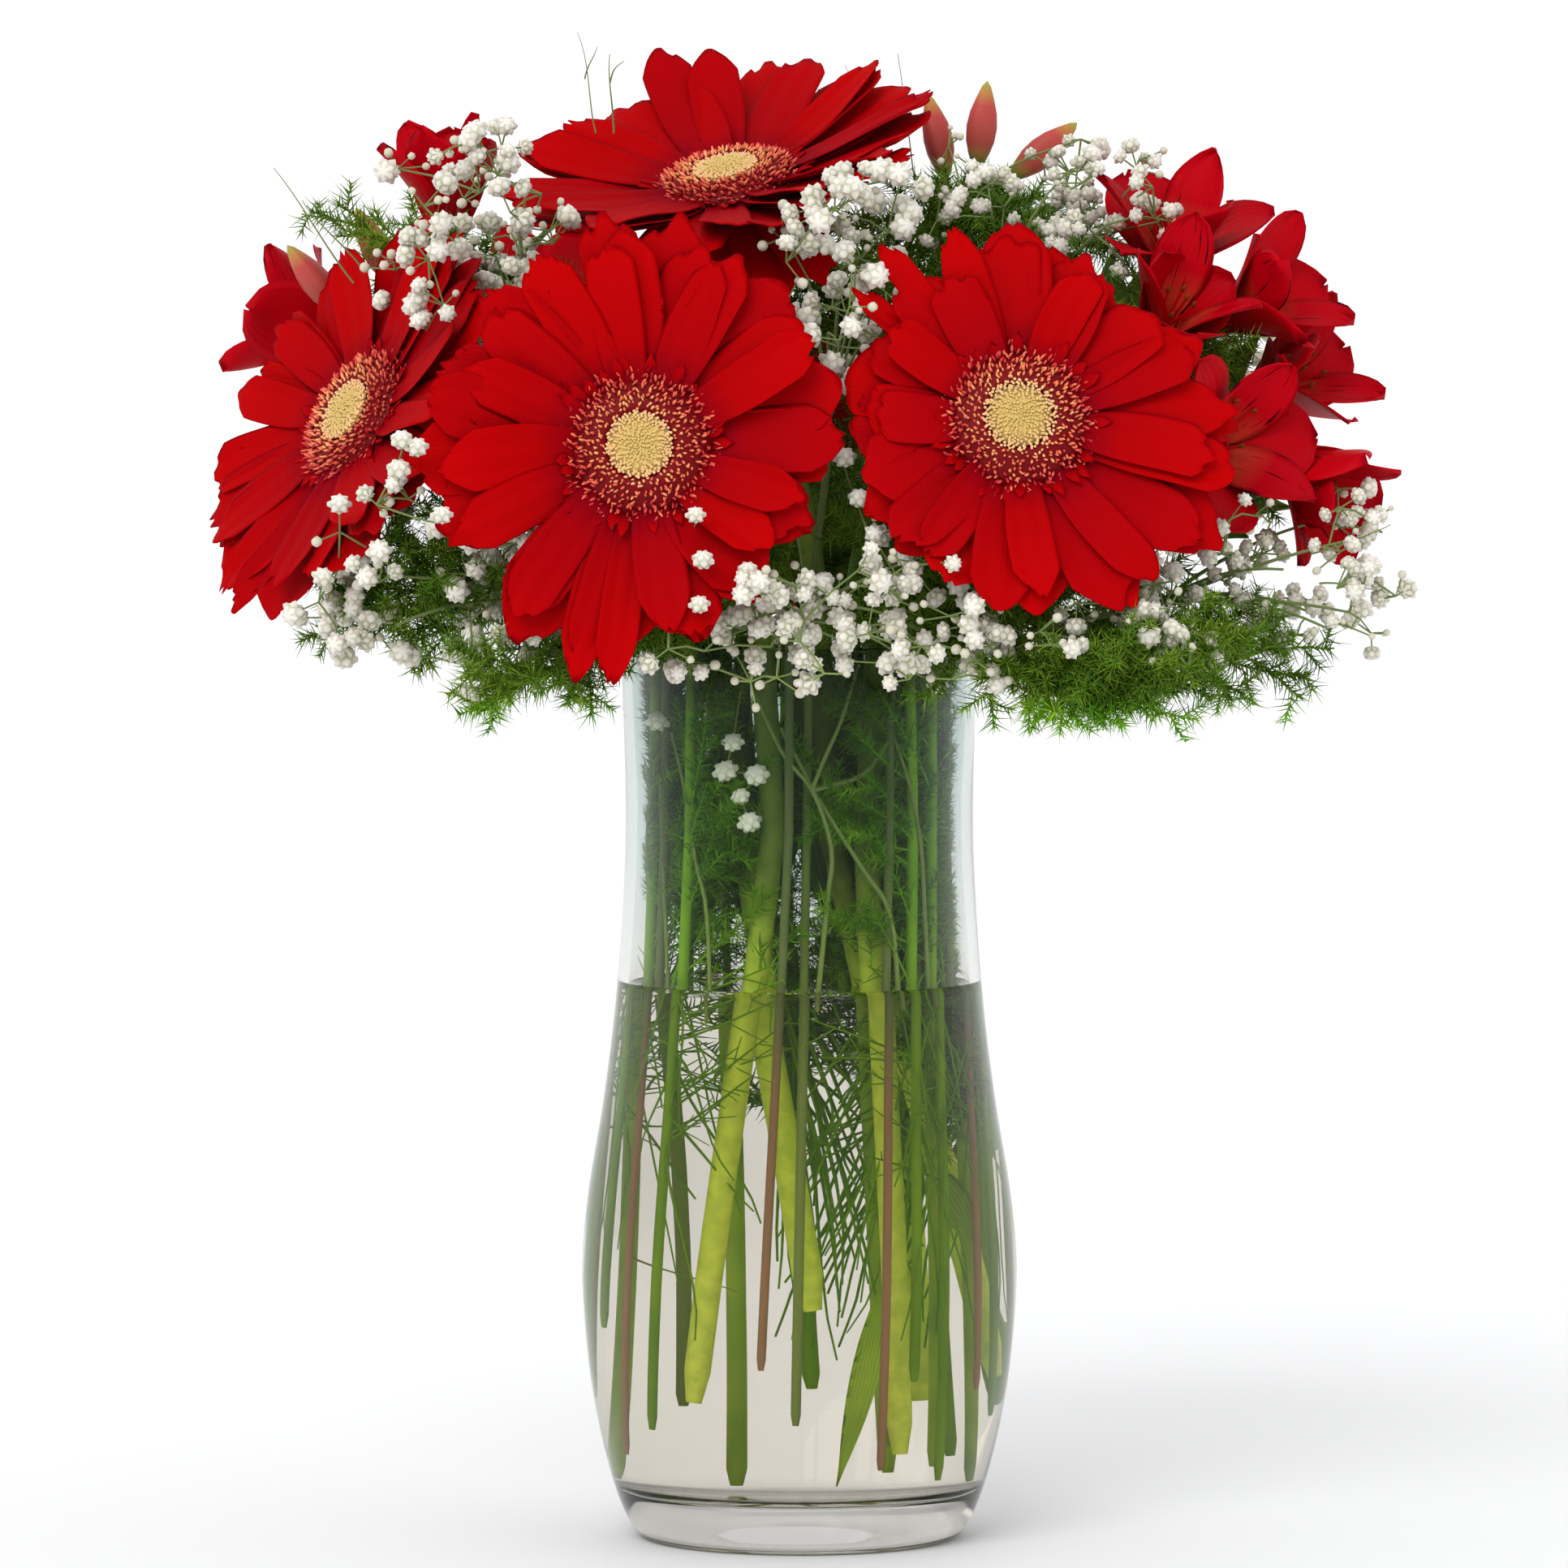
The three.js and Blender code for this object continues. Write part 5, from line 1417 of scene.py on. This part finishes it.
def spray(row, index):
    """The twigs as lines, and the places of florets and buds."""
    fork = Vector(row["fork"])
    lines, florets, buds, tints, knots = [], [], [], [], []
    for b in range(BOUGHS):
        seed = FIRST_SEED["bough"] + index * 40 + b
        end = in_cloud(row, seed, 1, 0.7)
        knee = fork.lerp(end, 0.5) + UP * between(2, 8, seed, 50)
        bough = interpolate_bezier(fork, fork.lerp(knee, 0.7), knee.lerp(end, 0.3), end, BOUGH_POINTS)
        lines.append((bough, np.linspace(0.65, 0.35, BOUGH_POINTS)))
        knots += bough[2:]
    for c in range(row["hubs"]):
        seed = FIRST_SEED["hub"] + index * 200 + c
        hub = in_cloud(row, seed, 2, 1.0)
        start = nearest(knots, hub)
        if room_at(hub, 1.0) and room_at(start.lerp(hub, 0.66), 0.6):
            lines.append(([start, start.lerp(hub, 0.5) + UP, hub], [0.35, 0.3, 0.28]))
            knots.append(hub)
            tuft(row, hub, seed, florets, buds, tints, lines)
    lines += [loose_twig(*twig, k) for k, twig in enumerate(LOOSE_TWIGS.get(row["name"], ()))]
    for k, at in enumerate(map(Vector, SINGLES.get(row["name"], ()))):
        twig, lone = lone_floret(row, at, knots, k)
        lines.append(twig)
        florets.append(lone)
        tints.append(0.6)
    return lines, florets, buds, tints


def hang_in_neck(lines, florets, tints):
    """Adds the sprig and the bare twigs that hang inside the neck of the vase."""
    for k, at in enumerate(map(Vector, SPRIG)):
        way = Vector((between(-0.6, 0.6, k, 72), -0.5, 1))
        florets.append(turned_to(at, way, between(2.4, 3.3, k, 71), k))
        tints.append(0.5)
        before = at + Vector((2, 1, 14)) if k in OWN_STALKS else Vector(SPRIG[k - 1])
        lines.append(([before, (before + at) / 2 + Vector((0, 1.5, 0)), at], [0.3, 0.3, 0.3]))
    for twig in NECK_TWIGS:
        line = smoothed(twig, 4)
        lines.append((line, np.linspace(0.5, 0.75, len(line))))


for index, row in enumerate(SPRAYS):
    lines, florets, buds, tints = spray(row, index)
    if row["name"] == "front_low":
        hang_in_neck(lines, florets, tints)
    stem = marked(row["stem"], white=0.0, bark=float(row["name"] in BARKY))
    twigs = marked(tubes(lines, 0), white=0.0, along=0.0)
    balls = [copies(floret_white, florets, tints), copies(bud_white, buds, [0.0] * len(buds))]
    finished(f"{row['flower']}_spray", [stem, twigs, *balls], white, "gypsophila", row["flower"])
    print(row["flower"], len(florets), "florets", len(buds), "buds")

# %% [markdown]
# ## Asparagus fern
# Feathery fronds: from the stem come thin branches with side sprigs, all set with soft needles as fine as
# hair. A needle is a three-sided cone of four faces, because there are thousands. Fronds are as dense in
# the neck of the vase as above it, so branches leave the stem there too, and stay inside the glass.

# %% Fern finish and needle
fern_green = finish("fern green", Roughness=0.55, Specular_IOR_Level=0.12)
fern_tone = ramp(fern_green, attribute(fern_green, "tint"),
                 [(0.0, (0.045, 0.12, 0.008)), (0.5, (0.11, 0.23, 0.014)), (1.0, (0.27, 0.38, 0.035))])
fern_patch = ramp(fern_green, speckle(fern_green, 25.0), [(0.3, (0.75, 0.8, 0.8)), (0.7, (1.2, 1.15, 1.0))])
# Painted light: below about 235 mm, inside the vase, the needles are made about twice as bright and greener,
# so that they glow through the glass.
fern_glow_in_vase = ramp(fern_green, height_share(fern_green, FOLIAGE_TOP),
                 [(0.5, (1.9, 2.2, 0.8)), (0.6, (1.8, 2.2, 0.9)), (0.77, (1.8, 2.2, 1.1)),
                  (0.8, (1.0, 1.0, 1.0))])
colour_from(fern_green, times(fern_green, fern_tone, times(fern_green, fern_patch, fern_glow_in_vase)))

needle = bmesh.new()
bmesh.ops.create_cone(needle, cap_ends=True, segments=3, radius1=1, radius2=0, depth=1)
bmesh.ops.translate(needle, vec=(0, 0, 0.5), verts=needle.verts)
needle_mesh = mesh_of(needle)
print("a needle has", len(needle_mesh.polygons), "faces")


# %% Fern branches
NEEDLE_LENGTH = 9
NEEDLE_RADIUS = 0.27
LOWEST_NEEDLE = 226
CLEAR_SIDE = -13
TUFT = 5
TUFT_PITCH = 1.9
SPRIG_PITCH = 6
ARC_POINTS = 8
BRANCH_RADII = np.linspace(0.4, 0.2, ARC_POINTS)
SPRIG_RADII = np.linspace(0.22, 0.15, ARC_POINTS)


def clear_of_glass(point, spare=1.2):
    """True above the rim and, below it, well within or outside the wall."""
    radius = math.hypot(point.x, point.y)
    wall = inner_radius(min(max(point.z, 0), VASE_HEIGHT))
    beside = radius > wall + WALL + spare and point.z > LOWEST_NEEDLE
    return point.z > VASE_HEIGHT + 3 or radius < wall - spare or beside


def veils_water(tip):
    """True in front of the stems and at the left, where the water stays clear."""
    in_front = tip.z < WATER_LEVEL + 14 and tip.y < -10
    left_in_water = tip.x < CLEAR_SIDE and tip.z < WATER_LEVEL - 2
    left_over_water = tip.x < 2 * CLEAR_SIDE and tip.z < WATER_LEVEL + 24
    return in_front or left_in_water or left_over_water


def needle_place(at, ahead, turn, length, own):
    """The matrix of a needle, or None where it would touch glass or a petal, or veil the water."""
    out = spin_out(ahead, turn + between(-0.5, 0.5, own, 1))
    point = (out + ahead * between(0.1, 1.2, own, 2)).normalized()
    if not clear_of_glass(at + point * length, 0.6):
        length *= 0.5
    tip = at + point * length
    if veils_water(tip) or not clear_of_glass(tip, 0.5):
        return None
    if cell_of(tip) in crowded or cell_of(at.lerp(tip, 0.5)) in crowded:
        return None
    return pointed(at, point) @ Matrix.Diagonal((NEEDLE_RADIUS, NEEDLE_RADIUS, length, 1))


def needled(root, way, length, seed, needles, sprigs=True):
    """Adds a branch with its side sprigs and soft needles to the lines, places and tints of a frond."""
    lines, places, tints = needles
    sag = Vector((between(-0.25, 0.25, seed, 1), between(-0.25, 0.25, seed, 2), between(-0.2, 0.2, seed, 3)))
    end = root + (way + sag).normalized() * length
    bows = [root, root + way * length * 0.4, end - (way + sag) * length * 0.25, end]
    arc = interpolate_bezier(*bows, ARC_POINTS)
    tested = arc[2:] if sprigs else arc[-1:]
    if not all(clear_of_glass(p) for p in arc[1:]) or not all(room_at(p, 1.2) for p in tested):
        return
    lines.append((arc, BRANCH_RADII if sprigs else SPRIG_RADII))
    shade = scatter(seed, 6)
    for step in range(1, int(length / TUFT_PITCH) * TUFT):
        t = min(1, 0.1 + 0.9 * step * TUFT_PITCH / TUFT / length)
        own = seed * 13 + step
        long = NEEDLE_LENGTH * between(0.5, 1.2, own, 3) * (1 - 0.35 * t) * (1.0 if sprigs else 0.8)
        place = needle_place(*along_line(arc, t), step * GOLDEN, long, own)
        if place is not None:
            places.append(place)
            tints.append(min(1, max(0, shade * 0.5 + 0.5 * scatter(own, 4))))
    for j in range(int(length / SPRIG_PITCH) if sprigs else 0):
        t = (j + between(0.4, 1.0, seed, 20 + j)) * SPRIG_PITCH / length
        spot = min(0.99, t) * (ARC_POINTS - 1)
        here, after = arc[int(spot)], arc[int(spot) + 1]
        ahead = (after - here).normalized()
        out = spin_out(ahead, j * GOLDEN + seed)
        reach = between(9, 15, seed, 40 + j) * (1 - 0.4 * t)
        needled(here.lerp(after, spot - int(spot)), (out + ahead * 0.7).normalized(), reach, seed * 17 + j,
                needles, False)


def grown(root, way, length, seed, needles, tries):
    """Tries a branch with a few bends, until one finds room."""
    before = len(needles[0])
    for again in range(tries):
        needled(root, way, length, seed + 1000 * again, needles)
        if len(needles[0]) > before:
            break


# %% Asparagus fern
BRANCHES = 34
NECK_BRANCHES = 66
NECK_SHARE = 0.8
FULL_NECK = 196
WISPS = 9
WISP_RADII = np.linspace(0.5, 0.25, ARC_POINTS)
END_REACH = 40


def stem_branches(arc, index, needles):
    """Branches along the stem above the rim, longer ones low down."""
    for b in range(BRANCHES):
        seed = FIRST_SEED["branch"] + index * 60 + b
        share = b / (BRANCHES - 1)
        root, ahead = along_line(arc, 0.02 + 0.98 * share)
        out = spin_out(ahead, b * GOLDEN + seed)
        way = out * (1 - 0.7 * share ** 3) + ahead * between(0.4, 1.1, seed, 1)
        way.z = max(way.z, -0.3)
        length = between(20, 34, seed, 2) * (1 - 0.35 * share) + 14 * (1 - share)
        needled(root, way.normalized(), length, seed, needles)


def neck_branches(foot, neck, rim_point, index, needles):
    """Branches within the neck. High at its back and sides they don't lean away from its middle."""
    for b in range(NECK_BRANCHES):
        seed = FIRST_SEED["neck"] + index * 60 + b
        share = b / (NECK_BRANCHES - 1)
        if share < NECK_SHARE:
            root = foot.lerp(neck, 0.45 + 0.55 * share * 1.25)
        else:
            root = neck.lerp(rim_point, (share - NECK_SHARE) * 5)
        inward = Vector((-root.x, -root.y, 0)).normalized()
        lean = between(-0.6, 0.9, seed, 1)
        if root.z > FULL_NECK and (abs(root.x) > 28 or root.y > 0):
            lean = max(lean, -0.1)
        way = inward * lean + UP * between(0.1, 1.2, seed, 2)
        way += inward.cross(UP) * between(-1.8, 1.8, seed, 3)
        grown(root, way.normalized(), between(24, 44, seed, 4), seed, needles, 3)


def wisp(foot, neck, seed, hangs_free):
    """A bare wisp that hangs from a stem into the water, near its stem or free of it."""
    start = foot.lerp(neck, between(0.5, 0.8, seed, 1))
    if hangs_free:
        end = Vector((between(-6, 27, seed, 7), between(-14, 24, seed, 8), between(52, 120, seed, 9)))
    else:
        end = start + Vector((between(-24, 24, seed, 2), between(-24, 24, seed, 3),
                              -between(20, 80, seed, 4)))
    end.z = max(end.z, FLOOR_HEIGHT + 6)
    level = Vector((end.x, end.y, 0))
    level *= min(1, (inner_radius(end.z) - 5) / level.length)
    end = Vector((level.x, level.y, end.z))
    side = Vector((between(-6, 6, seed, 5), between(-6, 6, seed, 6), 0))
    bows = [start, start.lerp(end, 0.3) + side, start.lerp(end, 0.7) - side, end]
    return interpolate_bezier(*bows, ARC_POINTS)


def frond(row, index):
    """All branches and wisps of a frond: its lines, and the places and tints of its needles."""
    needles = [], [], []
    foot, neck, *arc = row["line"][0]
    stem_branches(arc, index, needles)
    neck_branches(foot, neck, arc[0], index, needles)
    for w in range(row.get("wisps", WISPS)):
        seed = FIRST_SEED["wisp"] + index * 30 + w
        needles[0].append((wisp(foot, neck, seed, "wisps" in row), WISP_RADII))
    for m, end in enumerate(map(Vector, row.get("more", ()))):
        root = min(arc[3:], key=lambda spot: abs((spot - end).length - END_REACH))
        way = end - root
        grown(root, way.normalized(), way.length, FIRST_SEED["end"] + index * 30 + m, needles, 5)
    return needles


for index, row in enumerate(FRONDS):
    lines, places, tints = frond(row, index)
    stalks = [marked(row["stem"], tint=0.7), marked(tubes(lines, 0), tint=0.6)]
    leafage = copies(needle_mesh, places, tints)
    finished(f"{row['flower']}_frond", [*stalks, leafage], fern_green, "fern", row["flower"])
    print(row["flower"], len(lines), "branches", len(places), "needles")

# %% [markdown]
# ## Patterns
# The pattern meshes that the copies were made from are removed, as nothing uses them now. The dressed
# model has to stay in the CAD model's box, give or take what soft parts may stand proud.

# %% Patterns removed
for pattern in (floret_mesh, bud_mesh, floret_white, bud_white, needle_mesh):
    bpy.data.meshes.remove(pattern)
